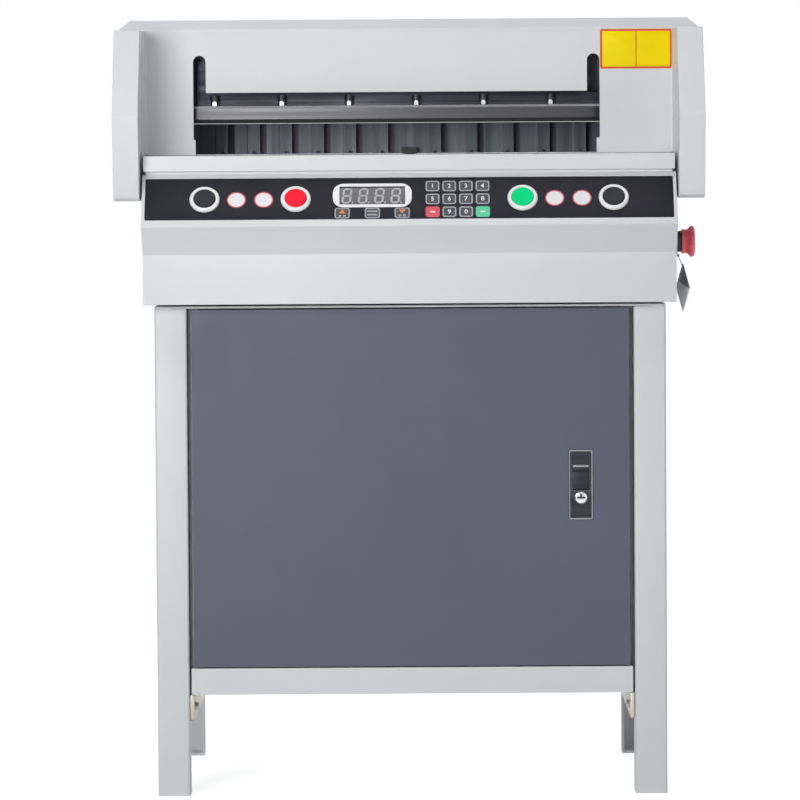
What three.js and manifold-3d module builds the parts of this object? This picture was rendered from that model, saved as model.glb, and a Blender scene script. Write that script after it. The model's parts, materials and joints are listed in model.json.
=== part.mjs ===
// Electric paper cutter on a stand, in millimetres, +Z up, front towards -Y.
// The origin is on the floor, under the middle of the machine.
import * as THREE from 'three';
import { mergeVertices } from 'three/addons/utils/BufferGeometryUtils.js';
import Module from 'manifold-3d';

const wasm = await Module();
wasm.setup();

// Fits
const seatGap = 0.3;          // between two pieces that meet
const runGap = 0.3;           // around a shaft, pin or sliding piece
const overrun = 5;            // how far a cut runs past the face that it opens
const weld = 5;               // how far two parts of one piece run into each other
const roundSides = 32;        // sides of a large round piece
const smallSides = 20;        // sides of a pin or screw
const hexSides = 6;

// Whole machine
const machineDepth = 760;     // front of the console to the end of the rear table
const coverSheet = 2;         // sheet of the covers, console and base

// Stand
const standInset = 12;        // stand narrower than the base, on each side
const standDepth = 470;
const standFront = 75;        // depth of the stand's front face behind the console's front
const standHeight = 613;
const legFace = 40;
const legSheet = 2.5;
const footPlate = 3;
const topFramePlate = 2.7;
const topFrameBorder = 50;
const railUndersideZ = 94.6;
const railThickness = 5.4;
const railEndMargin = 5;
const railBoltRadius = 5.5;
const railBoltHead = 4.3;
const railBoltInset = 20;

// Cabinet
const cabinetSheet = 1.8;
const cabinetFloorZ = 160;
const floorLip = 33;
const frontSetback = 2;       // door and floor lip behind the legs' face
const panelFlange = 14;       // front flange that the latch cam goes behind
const doorSideGap = 5.9;      // between the door and a leg
const doorThickness = 18;
const doorSheet = 1.5;
const doorTopGap = 1.4;
const doorBottomGap = 1.5;
const hingeInset = 6.6;       // hinge axis from the door's left edge
const hingeDepth = 9;         // hinge axis behind the door's face
const hingePinRadius = 3;
const hingePinReach = 12;     // how far a pin goes into the door
const flangeToDoor = 4;

// Lock
const lockFromEdge = 60.6;    // lock's middle from the door's right edge
const lockTopZ = 431.5;
const lockWidth = 30;
const lockHeight = 88;
const lockFlange = 2.3;
const lockBodyMargin = 3;     // body smaller than the flange, all round
const camToFlange = 0.6;      // latch cam behind the side panel's flange
const lockRecessDepth = 9;
const leverWidth = 21.4;
const leverHeight = 31;
const leverThickness = 5;
const leverFromTop = 19;
const leverPivotRise = 4;     // pivot above the lever's lower end
const cylinderRadius = 7.5;
const cylinderProud = 1;
const cylinderFromBottom = 28;
const camLength = 62;
const camWidth = 16;
const camThickness = 3;

// Base tub
const baseOverTable = 1.5;    // base wider than the table, on each side
const baseSplit = 130;        // depth where the console shell ends and the tub begins
const baseOverStand = 15;     // base deeper than the stand
const gaugeNotchHalf = 20;
const inletInset = 110.5;     // inlet's middle from the base's left side
const inletZ = 650;
const inletWidth = 27.4;
const inletHeight = 19.4;
const inletRim = 2.5;
const inletRimThickness = 2;
const inletBody = 30;
const inletRecess = 16;
const inletWall = 2.2;

// Console
const fasciaZ = 616;          // lower edge of the fascia
const fasciaTopZ = 678;
const fasciaDepth = 40;       // fascia behind the console's front edge
const consoleLowZ = 713.6;    // front edge, where the tilted face starts
const consoleTopZ = 777.5;
const consoleTopDepth = 46;
const consoleFaceWall = 4.6;

// Control panel, measured on the tilted face from its lower edge
const panelSideMargin = 4.35;
const panelHeight = 62.1;
const panelLowerMargin = 9.9;
const panelThickness = 2;
const panelLedge = 6;         // rim that the panel rests on
const startButtonShare = 0.382;   // of the console's width, from the middle
const powerButtonShare = 0.2118;
const buttonRise = 39.7;
const bezelRadius = 18.75;
const bezelTopRadius = 17.2;
const bezelHeight = 4;
const bezelChamfer = 1.4;
const barrelRadius = 15;
const barrelLength = 32;
const capRadius = 13.5;
const capProud = 5;
const capSkirt = 5;
const capTravelRoom = 9;      // free depth under the cap's skirt
const stemRadius = 5;
const displayShare = 0.06883;     // to the left of the middle
const displayRise = 45.2;
const displayWidth = 81.3;
const displayHeight = 27.1;
const displayRecess = 0.4;
const displayDepth = 12;
const boardSideGap = 15;      // between the board and a button's barrel
const boardHeight = 56;
const boardThickness = 1.7;
const boardRise = 12;

// Emergency stop and its tag
const estopDepth = 95;
const estopZ = 689.8;
const collarRadius = 13.25;
const collarLength = 8.3;
const estopBarrelRadius = 11;
const estopBlockSize = 30;
const estopBlockFrom = 8;     // block from the wall's inner face
const estopNeckRadius = 15.4;
const estopHeadRadius = 19.4;
const estopNeckLength = 7.5;
const estopFlare = 3.6;
const estopRim = 2.2;
const estopCrown = 3;
const estopCrownRadius = 16.6;
const estopStemRadius = 5;
const estopSkirtGap = 0.45;
const estopSkirtDepth = 6.5;
const tagSide = 43;
const tagThickness = 1;
const tagTurn = 13.3;         // degrees that the tag's plane is turned from the wall
const tagTopZ = 662.6;
const tagOut = 10.5;          // tag's middle outside the wall
const loopWire = 0.8;
const loopOut = 3;            // loop's plane outside the wall
const loopSides = 8;

// Table
const tableZ = 800.4;
const tableThickness = 19.5;
const tableSideGap = 4;       // between the table and an arm cover
const tableFront = 38;
const gaugeSlotHalf = 7;
const stickWidth = 12;
const stickHeight = 8;
const stickInset = 48;        // cutting stick's end from the arm cover
const rearTableInset = 33;    // rear table and its opening from the arm covers' inner faces
const rearTablePlate = 3;
const rearTableDrop = 70;     // height of the rear table's skirts and plate
const rearSlotLength = 112;
const bearingTab = 6;
const bearingTabHalf = 20;
const bearingTabInset = 32;
const bearingTabLow = 12;     // tab below the screw's axis

// Arm covers
const coverWidth = 730;       // over both arm covers
const armThickness = 32;
const armLowZ = 745;
const armKinkZ = 849;
const armLowDepth = 18;
const armCornerShare = 0.13;  // rounded lower corner, as a share of the arm's height to the kink
const armTopDepth = 60;
const armTopZ = 954;
const housingFront = 175;     // depth of the front cover's face
const housingRear = 470;
const armWindowFront = 205;
const armWindowRear = 445;
const armWindowLowZ = 765;
const armWindowHighZ = 940;
const curtainFront = 84;
const curtainWidth = 12;
const curtainLowZ = 780;
const curtainHighZ = 925;
const curtainBody = 14;

// Housing covers
const roofFoldZ = 957;
const roofSkirt = 2;
const roofTopZ = 971;
const roofBevel = 14;
const roofOverhang = 1;
const leftColumn = 61.2;      // front cover beside the throat
const rightColumn = 92.2;
const apronZ = 879;
const slotTopZ = 926;
const slotWidth = 15.6;
const slotArcSteps = 8;
const throatStepHeight = 19.6;
const throatStepLeft = 2.5;
const throatStepRight = 4;
const coverFlange = 13;
const rearOpeningZ = 868;

// Side frames and crossbeam
const frameToCover = 7;       // between a side frame and its arm cover
const framePlate = 12;
const frameFront = 190;
const frameRear = 460;
const frameTopZ = 945;
const bossRadius = 6;
const bossInset = 8;
const bossLowInset = 15;
const beamFront = 216;
const beamRear = 276;
const beamWeb = 8;
const beamWebLowZ = 880;
const beamFlangeLowZ = 903;
const beamTopZ = 923;
const guidePinRadius = 8;
const guidePinLeftInset = 91.8;   // guide pins from the throat's ends
const guidePinRightInset = 100.8;
const guidePinZ = 892;

// Knife and its carrier
const knifeFront = 190;
const knifeThickness = 8;
const knifeLeftReach = 13.2;  // knife past the throat's ends
const knifeRightReach = 21.2;
const knifeTopZ = 862.5;
const knifeChamfer = 2.8;
const knifeBevelZ = 845.7;
const knifeEdgeZ = 840.6;
const knifeSideTravel = 24;
const knifeEndGap = 0.4;      // edge above the cutting stick at the bottom of the stroke
const carrierThickness = 15.7;
const carrierLeftInset = 3.2;
const carrierRightInset = 18.8;
const carrierLowZ = 846;
const carrierShoulderZ = 878;
const carrierTopZ = 945;
const carrierCornerZ = 914;
const carrierCornerX = 31;
const lugReach = 29.2;        // drive lug past the throat's right end
const lugZ = 862;
const lugMargin = 12;
const adjusterCount = 6;
const adjusterLeftInset = 26.1;
const adjusterRightInset = 61.5;
const adjusterHeadRadius = 5.5;
const adjusterHeadHeight = 6.4;
const adjusterShankRadius = 3;
const adjusterHeadZ = 869;

// Crank drive
const rodLength = 146;
const rodEyeRadius = 12;
const rodBarWidth = 16;
const rodThickness = 10;
const rodSetback = 0.6;       // rod behind the carrier
const crankPinRadius = 7;
const crankDiscRadius = 34;
const crankDiscThickness = 14;
const crankDiscGap = 2.4;     // disc behind the rod
const driveShaftRadius = 10;
const driveShaftGap = 4;
const gearboxWidth = 100;
const gearboxDepth = 75;
const gearboxTopAboveShaft = 62;
const driveMotorRadius = 50;
const driveMotorEndX = 50;    // motor's end, clear of the lead screw
const rodSlotMargin = 2;

// Clamp
const clampFront = 228;
const clampDepth = 40;
const clampLowZ = 843;
const clampTopZ = 900;
const clampScrewRadius = 8;
const clampScrewEndZ = 848;
const clampScrewTopZ = 949;
const clampBoreFloor = 3;     // wall under the clamp's blind nut bore
const clampBoxHalf = 32;
const clampBoxHeight = 30;
const clampBoxFront = 224;
const clampMotorRadius = 27;
const clampMotorLength = 124;
const clampMotorZ = 926;

// Back gauge
const gaugeFace = 400;
const gaugeLeftReach = 11.2;  // back gauge past the throat's left end
const gaugeLift = 0.6;        // gauge above the table
const gaugeHeight = 39.8;
const finDepth = 14;
const gaugePlate = 6;
const gaugeFoot = 38;
const gaugeFootHeight = 6;
const finSlotWidth = 9;
const finPitchRight = 47.3;   // slots to the right of the nut
const finPitchLeft = 41.8;
const firstSlotRight = 45.7;
const firstSlotLeft = -23.4;
const nutFootHalf = 9.8;
const nutFootHeight = 8.6;
const nutFootDepth = 13.7;
const nutBlockHalf = 16;
const nutBlockLength = 35;
const nutBlockHeight = 24;
const screwZ = 748;
const screwRadius = 7;
const screwFront = 216;
const screwRear = 735;
const hubRadius = 11;
const hubLength = 18;
const motorShaftRadius = 4;
const motorShaftReach = 12;
const gaugeMotorSize = 56;
const gaugeMotorLength = 66;
const gaugeSlotFront = 218;

// Worked-out sizes
const halfCover = coverWidth / 2;
const armInnerX = halfCover - armThickness;
const tableWidth = 2 * (armInnerX - tableSideGap);
const baseWidth = tableWidth + 2 * baseOverTable;
const halfBase = baseWidth / 2;
const standWidth = baseWidth - 2 * standInset;
const halfStand = standWidth / 2;
const standRear = standFront + standDepth;
const baseRear = standRear + baseOverStand;
const inletX = inletInset - halfBase;
const roofWidth = coverWidth + 2 * roofOverhang;
const doorWidth = standWidth - 2 * (legFace + doorSideGap);
const lockX = doorWidth / 2 - lockFromEdge;
const panelWidth = baseWidth - 2 * panelSideMargin;
const startButtonX = baseWidth * startButtonShare;
const powerButtonX = baseWidth * powerButtonShare;
const displayX = -baseWidth * displayShare;
const boardWidth = 2 * (powerButtonX - barrelRadius - boardSideGap);
const stickHalfLength = armInnerX - stickInset;
const rearTableHalf = armInnerX - rearTableInset;
const frameInnerX = armInnerX - frameToCover - framePlate;
const throatLeftX = leftColumn - armInnerX;
const throatRightX = armInnerX - rightColumn;
const guidePinLeftX = throatLeftX + guidePinLeftInset;
const guidePinRightX = throatRightX - guidePinRightInset;
const knifeLeftX = throatLeftX - knifeLeftReach;
const knifeRightX = throatRightX + knifeRightReach;
const carrierLeftX = throatLeftX + carrierLeftInset;
const carrierRightX = throatRightX - carrierRightInset;
const lugX = throatRightX + lugReach;
const adjusterFirstX = throatLeftX + adjusterLeftInset;
const adjusterPitch = (throatRightX - adjusterRightInset - adjusterFirstX) / (adjusterCount - 1);
const driveMotorLength = lugX - gearboxWidth / 2 - driveMotorEndX;
const gaugeLeftX = throatLeftX - gaugeLeftReach;
const gaugeRightX = knifeRightX;
const slotCountRight = 1 + Math.floor((gaugeRightX - finSlotWidth - firstSlotRight) / finPitchRight);
const slotCountLeft = 1 + Math.floor((firstSlotLeft - finSlotWidth - gaugeLeftX) / finPitchLeft);
const legTopZ = standHeight - topFramePlate - seatGap;
const legInnerX = halfStand - legFace;
const panelOuterX = legInnerX - seatGap;
const panelInnerX = panelOuterX - cabinetSheet;
const trayHalf = panelInnerX - seatGap;
const doorFront = standFront + frontSetback;
const doorRear = doorFront + doorThickness;
const flangeFront = doorRear + flangeToDoor;
const lockBodyDepth = flangeFront + cabinetSheet + camToFlange - doorFront - 2 * seatGap;
const floorUndersideZ = cabinetFloorZ - floorLip;
const doorLowZ = cabinetFloorZ + doorBottomGap;
const doorHighZ = legTopZ - doorTopGap;
const hingeX = -doorWidth / 2 + hingeInset;
const hingeY = doorFront + hingeDepth;
const baseLowZ = standHeight + seatGap;
const tableLowZ = tableZ - tableThickness;
const baseTopZ = tableLowZ - seatGap;
const armRoofZ = roofFoldZ - seatGap;
const coverHalf = armInnerX - seatGap;
const faceRise = consoleTopZ - consoleLowZ;
const faceTilt = Math.atan2(consoleTopDepth, faceRise);
const knifeBack = knifeFront + knifeThickness;
const carrierFront = knifeBack + seatGap;
const carrierBack = carrierFront + carrierThickness;
const knifeDrop = knifeEdgeZ - tableZ - knifeEndGap;
const rodFront = carrierBack + rodSetback;
const rodBack = rodFront + rodThickness;
const rodLeanLoss = rodLength - Math.sqrt(rodLength ** 2 - knifeSideTravel ** 2);
const crankThrow = (knifeDrop - rodLeanLoss) / 2;
const crankZ = lugZ - rodLength - crankThrow;
const gaugeLowZ = tableZ + gaugeLift;
const discFront = rodBack + crankDiscGap;
const discBack = discFront + crankDiscThickness;

// Finishes
const paint = finish(0xdce0e3, 0.5, 0.1);
const slatePaint = finish(0x646878, 0.5, 0.1);
const standPaint = finish(0xc6cace, 0.55, 0.1);
const darkPanel = finish(0x3c3c46, 0.35, 0);
const blackPlastic = finish(0x22232b, 0.4, 0);
const redPlastic = finish(0xe25660, 0.35, 0);
const greenPlastic = finish(0x00dd80, 0.35, 0);
const whitePlastic = finish(0xf0f0f2, 0.4, 0);
const steel = finish(0x8b8e93, 0.35, 0.9);
const darkSteel = finish(0x3a3c42, 0.5, 0.7);
const tableSteel = finish(0xe2e5e6, 0.4, 0.3);
const aluminium = finish(0x9a9da3, 0.45, 0.8);
const zinc = finish(0xb0a878, 0.45, 0.8);
const chrome = finish(0xd0d2d6, 0.15, 1);
const castIron = finish(0x70747a, 0.7, 0.5);
const circuitGreen = finish(0x1f6b3a, 0.6, 0);
const curtainRed = finish(0x5a1018, 0.2, 0);

function finish(color, roughness, metalness) {
  return new THREE.MeshStandardMaterial({ color, roughness, metalness });
}

// Solids
function solidOf(geometry) {
  geometry.deleteAttribute('normal');
  geometry.deleteAttribute('uv');
  const merged = mergeVertices(geometry);
  return new wasm.Manifold(new wasm.Mesh({
    numProp: 3,
    vertProperties: new Float32Array(merged.attributes.position.array),
    triVerts: new Uint32Array(merged.index.array),
  }));
}

function join(first, ...others) {
  return others.reduce((whole, part) => whole.add(part), first);
}

function cut(body, ...tools) {
  return tools.reduce((whole, tool) => whole.subtract(tool), body);
}

function box(x0, x1, y0, y1, z0, z1) {
  const geometry = new THREE.BoxGeometry(x1 - x0, y1 - y0, z1 - z0);
  geometry.translate((x0 + x1) / 2, (y0 + y1) / 2, (z0 + z1) / 2);
  return solidOf(geometry);
}

function extrusion(outline, length, placing) {
  const shape = new THREE.Shape(outline.map(([u, v]) => new THREE.Vector2(u, v)));
  const geometry = new THREE.ExtrudeGeometry(shape, { depth: length, bevelEnabled: false });
  geometry.applyMatrix4(placing);
  return solidOf(geometry);
}

// A prism across the width, from an outline of depths and heights.
function prismX(outline, x0, x1) {
  const placing = new THREE.Matrix4().set(0, 0, 1, x0, 1, 0, 0, 0, 0, 1, 0, 0, 0, 0, 0, 1);
  return extrusion(outline, x1 - x0, placing);
}

// A prism along the depth, from an outline of widths and heights.
function prismY(outline, y0, y1) {
  const placing = new THREE.Matrix4().set(1, 0, 0, 0, 0, 0, -1, y1, 0, 1, 0, 0, 0, 0, 0, 1);
  return extrusion(outline, y1 - y0, placing);
}

// A round bar from one place along an axis to another; centre holds its other two coordinates.
function bar(axis, centre, from, to, radius, sides = roundSides, endRadius = radius) {
  const geometry = new THREE.CylinderGeometry(endRadius, radius, to - from, sides);
  const middle = (from + to) / 2;
  if (axis === 'x') {
    geometry.rotateZ(-Math.PI / 2);
    geometry.translate(middle, centre[0], centre[1]);
  } else if (axis === 'y') {
    geometry.translate(centre[0], middle, centre[1]);
  } else {
    geometry.rotateX(Math.PI / 2);
    geometry.translate(centre[0], centre[1], middle);
  }
  return solidOf(geometry);
}

// An outline moved inwards by a distance for each edge; a negative distance moves it outwards.
function inset(outline, distances) {
  const lines = outline.map(([u, v], index) => {
    const [nextU, nextV] = outline[(index + 1) % outline.length];
    const length = Math.hypot(nextU - u, nextV - v);
    const normal = [-(nextV - v) / length, (nextU - u) / length];
    return { point: [u + normal[0] * distances[index], v + normal[1] * distances[index]],
      along: [(nextU - u) / length, (nextV - v) / length] };
  });
  return outline.map((_, index) => {
    const before = lines[(index + lines.length - 1) % lines.length];
    const after = lines[index];
    const cross = before.along[0] * after.along[1] - before.along[1] * after.along[0];
    const step = ((after.point[0] - before.point[0]) * after.along[1]
      - (after.point[1] - before.point[1]) * after.along[0]) / cross;
    return [before.point[0] + before.along[0] * step, before.point[1] + before.along[1] * step];
  });
}

function piece(parent, name, solid, material) {
  const source = solid.getMesh();
  const geometry = new THREE.BufferGeometry();
  geometry.setAttribute('position', new THREE.BufferAttribute(source.vertProperties, 3));
  geometry.setIndex(new THREE.BufferAttribute(source.triVerts, 1));
  geometry.computeVertexNormals();
  const mesh = new THREE.Mesh(geometry, material);
  mesh.name = name;
  parent.add(mesh);
  return mesh;
}

function group(parent, x = 0, y = 0, z = 0) {
  const made = new THREE.Group();
  made.position.set(x, y, z);
  parent.add(made);
  return made;
}

// The machine's own depth starts at the console's front edge and runs to the rear.
const paperCutter = new THREE.Group();
const machine = group(paperCutter, 0, -machineDepth / 2, 0);

// Stand
function legSolid() {
  const half = legFace / 2;
  const inner = half - legSheet;
  return cut(
    box(-half, half, -half, half, 0, legTopZ),
    box(-inner, inner, legSheet - half, half + overrun, footPlate, legTopZ + overrun),
  );
}

function addLegs(parent) {
  const sides = [['left', -1], ['right', 1]];
  const ends = [['front', standFront + legFace / 2, 0], ['rear', standRear - legFace / 2, Math.PI]];
  for (const [side, sign] of sides) {
    for (const [end, depth, turn] of ends) {
      const leg = piece(parent, `leg_${end}_${side}`, legSolid(), standPaint);
      leg.position.set(sign * (halfStand - legFace / 2), depth, 0);
      leg.rotation.z = turn;
    }
  }
}

function topFrameSolid() {
  const innerX = halfStand - topFrameBorder;
  const low = legTopZ + seatGap;
  return cut(
    box(-halfStand, halfStand, standFront, standRear, low, standHeight),
    box(-innerX, innerX, standFront + topFrameBorder, standRear - topFrameBorder,
      low - overrun, standHeight + overrun),
  );
}

// A rail carries the cabinet floor between two legs; its bolts face inwards.
function sideRailSolid(sign) {
  const outer = panelOuterX;
  const inner = outer - railThickness;
  const front = standFront + railEndMargin;
  const rear = standRear - railEndMargin;
  const high = floorUndersideZ - seatGap;
  const rail = box(inner, outer, front, rear, railUndersideZ, high);
  const boltZ = (railUndersideZ + high) / 2;
  const bolts = [front + railBoltInset, rear - railBoltInset].map((depth) => bar(
    'x', [depth, boltZ], inner - railBoltHead, inner + railThickness / 2, railBoltRadius, hexSides));
  return join(rail, ...bolts).scale([sign, 1, 1]);
}

const stand = group(machine);
addLegs(stand);
piece(stand, 'stand_top_frame', topFrameSolid(), standPaint);
piece(stand, 'side_rail_left', sideRailSolid(-1), zinc);
piece(stand, 'side_rail_right', sideRailSolid(1), zinc);

// Cabinet
function cabinetFloorSolid() {
  const front = doorFront;
  const rear = standRear - frontSetback;
  const inner = trayHalf - cabinetSheet;
  return cut(
    box(-trayHalf, trayHalf, front, rear, floorUndersideZ, cabinetFloorZ),
    box(-inner, inner, front + cabinetSheet, rear - cabinetSheet,
      floorUndersideZ - overrun, cabinetFloorZ - cabinetSheet),
  );
}

const panelTopZ = legTopZ;
const panelRear = standRear - frontSetback;

function sidePanelSolid(sign) {
  const sheet = box(panelInnerX, panelOuterX, flangeFront, panelRear, floorUndersideZ, panelTopZ);
  const flange = box(panelInnerX - panelFlange, panelOuterX, flangeFront, flangeFront + cabinetSheet,
    cabinetFloorZ + seatGap, panelTopZ);
  return join(sheet, flange).scale([sign, 1, 1]);
}

function backPanelSolid() {
  return box(-trayHalf, trayHalf, panelRear - cabinetSheet, panelRear,
    cabinetFloorZ + seatGap, panelTopZ);
}

const cabinet = group(machine);
piece(cabinet, 'cabinet_floor', cabinetFloorSolid(), standPaint);
piece(cabinet, 'cabinet_left_panel', sidePanelSolid(-1), standPaint);
piece(cabinet, 'cabinet_right_panel', sidePanelSolid(1), standPaint);
piece(cabinet, 'cabinet_back_panel', backPanelSolid(), standPaint);

// Door, in a group whose origin is the hinge axis at floor level.
const lockCentreZ = lockTopZ - lockHeight / 2;
const lockBodyHalfWidth = lockWidth / 2 - lockBodyMargin;
const lockBodyHalfHeight = lockHeight / 2 - lockBodyMargin;

function doorSolid() {
  const left = -hingeInset;
  const right = doorWidth - hingeInset;
  const front = -hingeDepth;
  const rear = doorThickness - hingeDepth;
  const shell = cut(
    box(left, right, front, rear, doorLowZ, doorHighZ),
    box(left + doorSheet, right - doorSheet, front + doorSheet, rear + overrun,
      doorLowZ + doorSheet, doorHighZ - doorSheet),
  );
  const lockLocalX = lockX - hingeX;
  const halfWidth = lockBodyHalfWidth + seatGap;
  const halfHeight = lockBodyHalfHeight + seatGap;
  const lockHole = box(lockLocalX - halfWidth, lockLocalX + halfWidth,
    front - overrun, front + doorSheet + overrun, lockCentreZ - halfHeight, lockCentreZ + halfHeight);
  const pinHole = bar('z', [0, 0], doorLowZ - overrun, doorHighZ + overrun,
    hingePinRadius + runGap, smallSides);
  return cut(shell, lockHole, pinHole);
}

const door = group(machine, hingeX, hingeY, 0);
piece(door, 'cabinet_door', doorSolid(), slatePaint);

const upperPin = bar('z', [0, 0], doorHighZ - hingePinReach, legTopZ + seatGap, hingePinRadius, smallSides);
const lowerPin = bar('z', [0, 0], cabinetFloorZ, doorLowZ + hingePinReach, hingePinRadius, smallSides);
piece(door, 'door_hinge_pin_upper', upperPin, steel);
piece(door, 'door_hinge_pin_lower', lowerPin, steel);

// Lock, in a group at its centre on the door's face.
const cylinderZ = cylinderFromBottom - lockHeight / 2;
const leverTopZ = lockHeight / 2 - leverFromTop;
const leverLowZ = leverTopZ - leverHeight;
// The lever's heel swings below its rest place as the lever lifts.
const heelRoom = Math.hypot(leverPivotRise, leverThickness / 2) - leverPivotRise + runGap;

function lockPlateSolid() {
  const flangeBack = -seatGap;
  const flangeFace = flangeBack - lockFlange;
  const flange = box(-lockWidth / 2, lockWidth / 2, flangeFace, flangeBack,
    -lockHeight / 2, lockHeight / 2);
  const body = box(-lockBodyHalfWidth, lockBodyHalfWidth, flangeFace + lockFlange / 2, lockBodyDepth,
    -lockBodyHalfHeight, lockBodyHalfHeight);
  const recess = box(-leverWidth / 2 - runGap, leverWidth / 2 + runGap,
    flangeFace - overrun, flangeFace + lockRecessDepth, leverLowZ - heelRoom, leverTopZ + runGap);
  const bore = bar('y', [0, cylinderZ], flangeFace - overrun, lockBodyDepth + overrun,
    cylinderRadius + runGap, smallSides);
  return cut(join(flange, body), recess, bore);
}

const lock = group(door, lockX - hingeX, -hingeDepth, lockCentreZ);
const lockFaceY = -seatGap - lockFlange;
const lever = box(-leverWidth / 2, leverWidth / 2, lockFaceY, lockFaceY + leverThickness,
  leverLowZ, leverTopZ);
const cylinderBack = lockBodyDepth + seatGap;
piece(lock, 'lock_plate', lockPlateSolid(), darkPanel);
piece(lock, 'lock_lever', lever, darkPanel);
piece(lock, 'lock_cylinder',
  bar('y', [0, cylinderZ], lockFaceY - cylinderProud, cylinderBack, cylinderRadius, smallSides), chrome);
piece(lock, 'latch_cam',
  box(-camWidth / 2, camWidth / 2, cylinderBack + seatGap, cylinderBack + seatGap + camThickness,
    cylinderZ - camWidth / 2, cylinderZ + camLength), zinc);

// Base tub behind the console
function baseShellSolid() {
  const front = baseSplit + seatGap;
  const inner = halfBase - coverSheet;
  const tub = cut(
    box(-halfBase, halfBase, front, baseRear, baseLowZ, baseTopZ),
    box(-inner, inner, front - overrun, baseRear - coverSheet, baseLowZ + coverSheet, baseTopZ + overrun),
  );
  const notch = box(-gaugeNotchHalf, gaugeNotchHalf, baseRear - coverSheet - overrun, baseRear + overrun,
    screwZ - gaugeNotchHalf, baseTopZ + overrun);
  const inletHole = box(inletX - inletWidth / 2 - seatGap, inletX + inletWidth / 2 + seatGap,
    baseRear - coverSheet - overrun, baseRear + overrun,
    inletZ - inletHeight / 2 - seatGap, inletZ + inletHeight / 2 + seatGap);
  return cut(tub, notch, inletHole);
}

function powerInletSolid() {
  const halfWidth = inletWidth / 2;
  const halfHeight = inletHeight / 2;
  const rimBack = baseRear + seatGap;
  const rimFront = rimBack + inletRimThickness;
  const rim = box(-halfWidth - inletRim, halfWidth + inletRim, rimBack, rimFront,
    -halfHeight - inletRim, halfHeight + inletRim);
  const body = box(-halfWidth, halfWidth, rimBack - inletBody, rimFront, -halfHeight, halfHeight);
  const recess = box(inletWall - halfWidth, halfWidth - inletWall, rimFront - inletRecess,
    rimFront + overrun, inletWall - halfHeight, halfHeight - inletWall);
  return cut(join(rim, body), recess);
}

const base = group(machine);
piece(base, 'base_shell', baseShellSolid(), paint);
piece(group(base, inletX, 0, inletZ), 'power_inlet', powerInletSolid(), blackPlastic);

// Console shell; its outline runs from the fascia's foot up the front.
const consoleOutline = [
  [baseSplit, fasciaZ],
  [baseSplit, consoleTopZ],
  [consoleTopDepth, consoleTopZ],
  [0, consoleLowZ],
  [fasciaDepth, fasciaTopZ],
  [fasciaDepth, fasciaZ],
];

const panelPlateFit = panelWidth / 2 + seatGap;
const pocketDepth = panelThickness + seatGap;

function consoleShellSolid() {
  const inside = inset(consoleOutline,
    [-overrun, coverSheet, consoleFaceWall, coverSheet, coverSheet, coverSheet]);
  const shell = cut(
    prismX(consoleOutline, -halfBase, halfBase),
    prismX(inside, coverSheet - halfBase, halfBase - coverSheet),
  );
  const pocketLow = panelLowerMargin - seatGap;
  const pocketHigh = panelLowerMargin + panelHeight + seatGap;
  const pocket = box(-panelPlateFit, panelPlateFit, -overrun, pocketDepth, pocketLow, pocketHigh);
  const window = box(panelLedge - panelPlateFit, panelPlateFit - panelLedge,
    -overrun, consoleFaceWall + overrun, pocketLow + panelLedge, pocketHigh - panelLedge);
  const faceTools = join(pocket, window).rotate([-faceTilt * 180 / Math.PI, 0, 0])
    .translate([0, 0, consoleLowZ]);
  const estopHole = bar('x', [estopDepth, estopZ], halfBase - coverSheet - overrun, halfBase + overrun,
    estopBarrelRadius + seatGap, smallSides);
  return cut(shell, faceTools, estopHole);
}

piece(base, 'console_shell', consoleShellSolid(), paint);

// Control panel, in a group on the tilted face: +Y goes in, +Z goes up the face.
const face = group(base, 0, 0, consoleLowZ);
face.rotation.x = -faceTilt;

const buttonList = [
  ['start_bezel_left', 'start_button_left', -startButtonX, blackPlastic],
  ['stop_bezel', 'stop_button', -powerButtonX, redPlastic],
  ['power_bezel', 'power_button', powerButtonX, greenPlastic],
  ['start_bezel_right', 'start_button_right', startButtonX, blackPlastic],
];

function controlPanelSolid() {
  const plate = box(-panelWidth / 2, panelWidth / 2, 0, panelThickness,
    panelLowerMargin, panelLowerMargin + panelHeight);
  const holes = buttonList.map(([, , x]) => bar('y', [x, buttonRise], -overrun,
    panelThickness + overrun, barrelRadius + seatGap));
  const displayHole = box(displayX - displayWidth / 2, displayX + displayWidth / 2,
    -overrun, panelThickness + overrun,
    displayRise - displayHeight / 2, displayRise + displayHeight / 2);
  return cut(plate, ...holes, displayHole);
}

function bezelSolid() {
  const rim = bar('y', [0, 0], bezelChamfer - bezelHeight, -seatGap, bezelRadius);
  const lip = bar('y', [0, 0], -bezelHeight, bezelChamfer - bezelHeight, bezelTopRadius,
    roundSides, bezelRadius);
  const barrel = bar('y', [0, 0], bezelChamfer - bezelHeight, barrelLength, barrelRadius);
  const well = bar('y', [0, 0], -bezelHeight - overrun, capSkirt + capTravelRoom, capRadius + runGap);
  const stemBore = bar('y', [0, 0], 0, barrelLength + overrun, stemRadius + runGap, smallSides);
  return cut(join(rim, lip, barrel), well, stemBore);
}

function capSolid() {
  const disc = bar('y', [0, 0], -capProud, capSkirt, capRadius);
  const stem = bar('y', [0, 0], 0, barrelLength - seatGap, stemRadius, smallSides);
  return join(disc, stem);
}

piece(face, 'control_panel', controlPanelSolid(), darkPanel);
for (const [bezelName, buttonName, x, material] of buttonList) {
  const place = group(face, x, 0, buttonRise);
  piece(place, bezelName, bezelSolid(), whitePlastic);
  piece(place, buttonName, capSolid(), material);
}

const displayHalf = displayWidth / 2 - seatGap;
const displayHalfHeight = displayHeight / 2 - seatGap;
piece(face, 'display_module',
  box(displayX - displayHalf, displayX + displayHalf, displayRecess, displayDepth,
    displayRise - displayHalfHeight, displayRise + displayHalfHeight), blackPlastic);
piece(face, 'control_board',
  box(-boardWidth / 2, boardWidth / 2, displayDepth + seatGap, displayDepth + seatGap + boardThickness,
    boardRise, boardRise + boardHeight), circuitGreen);

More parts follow.
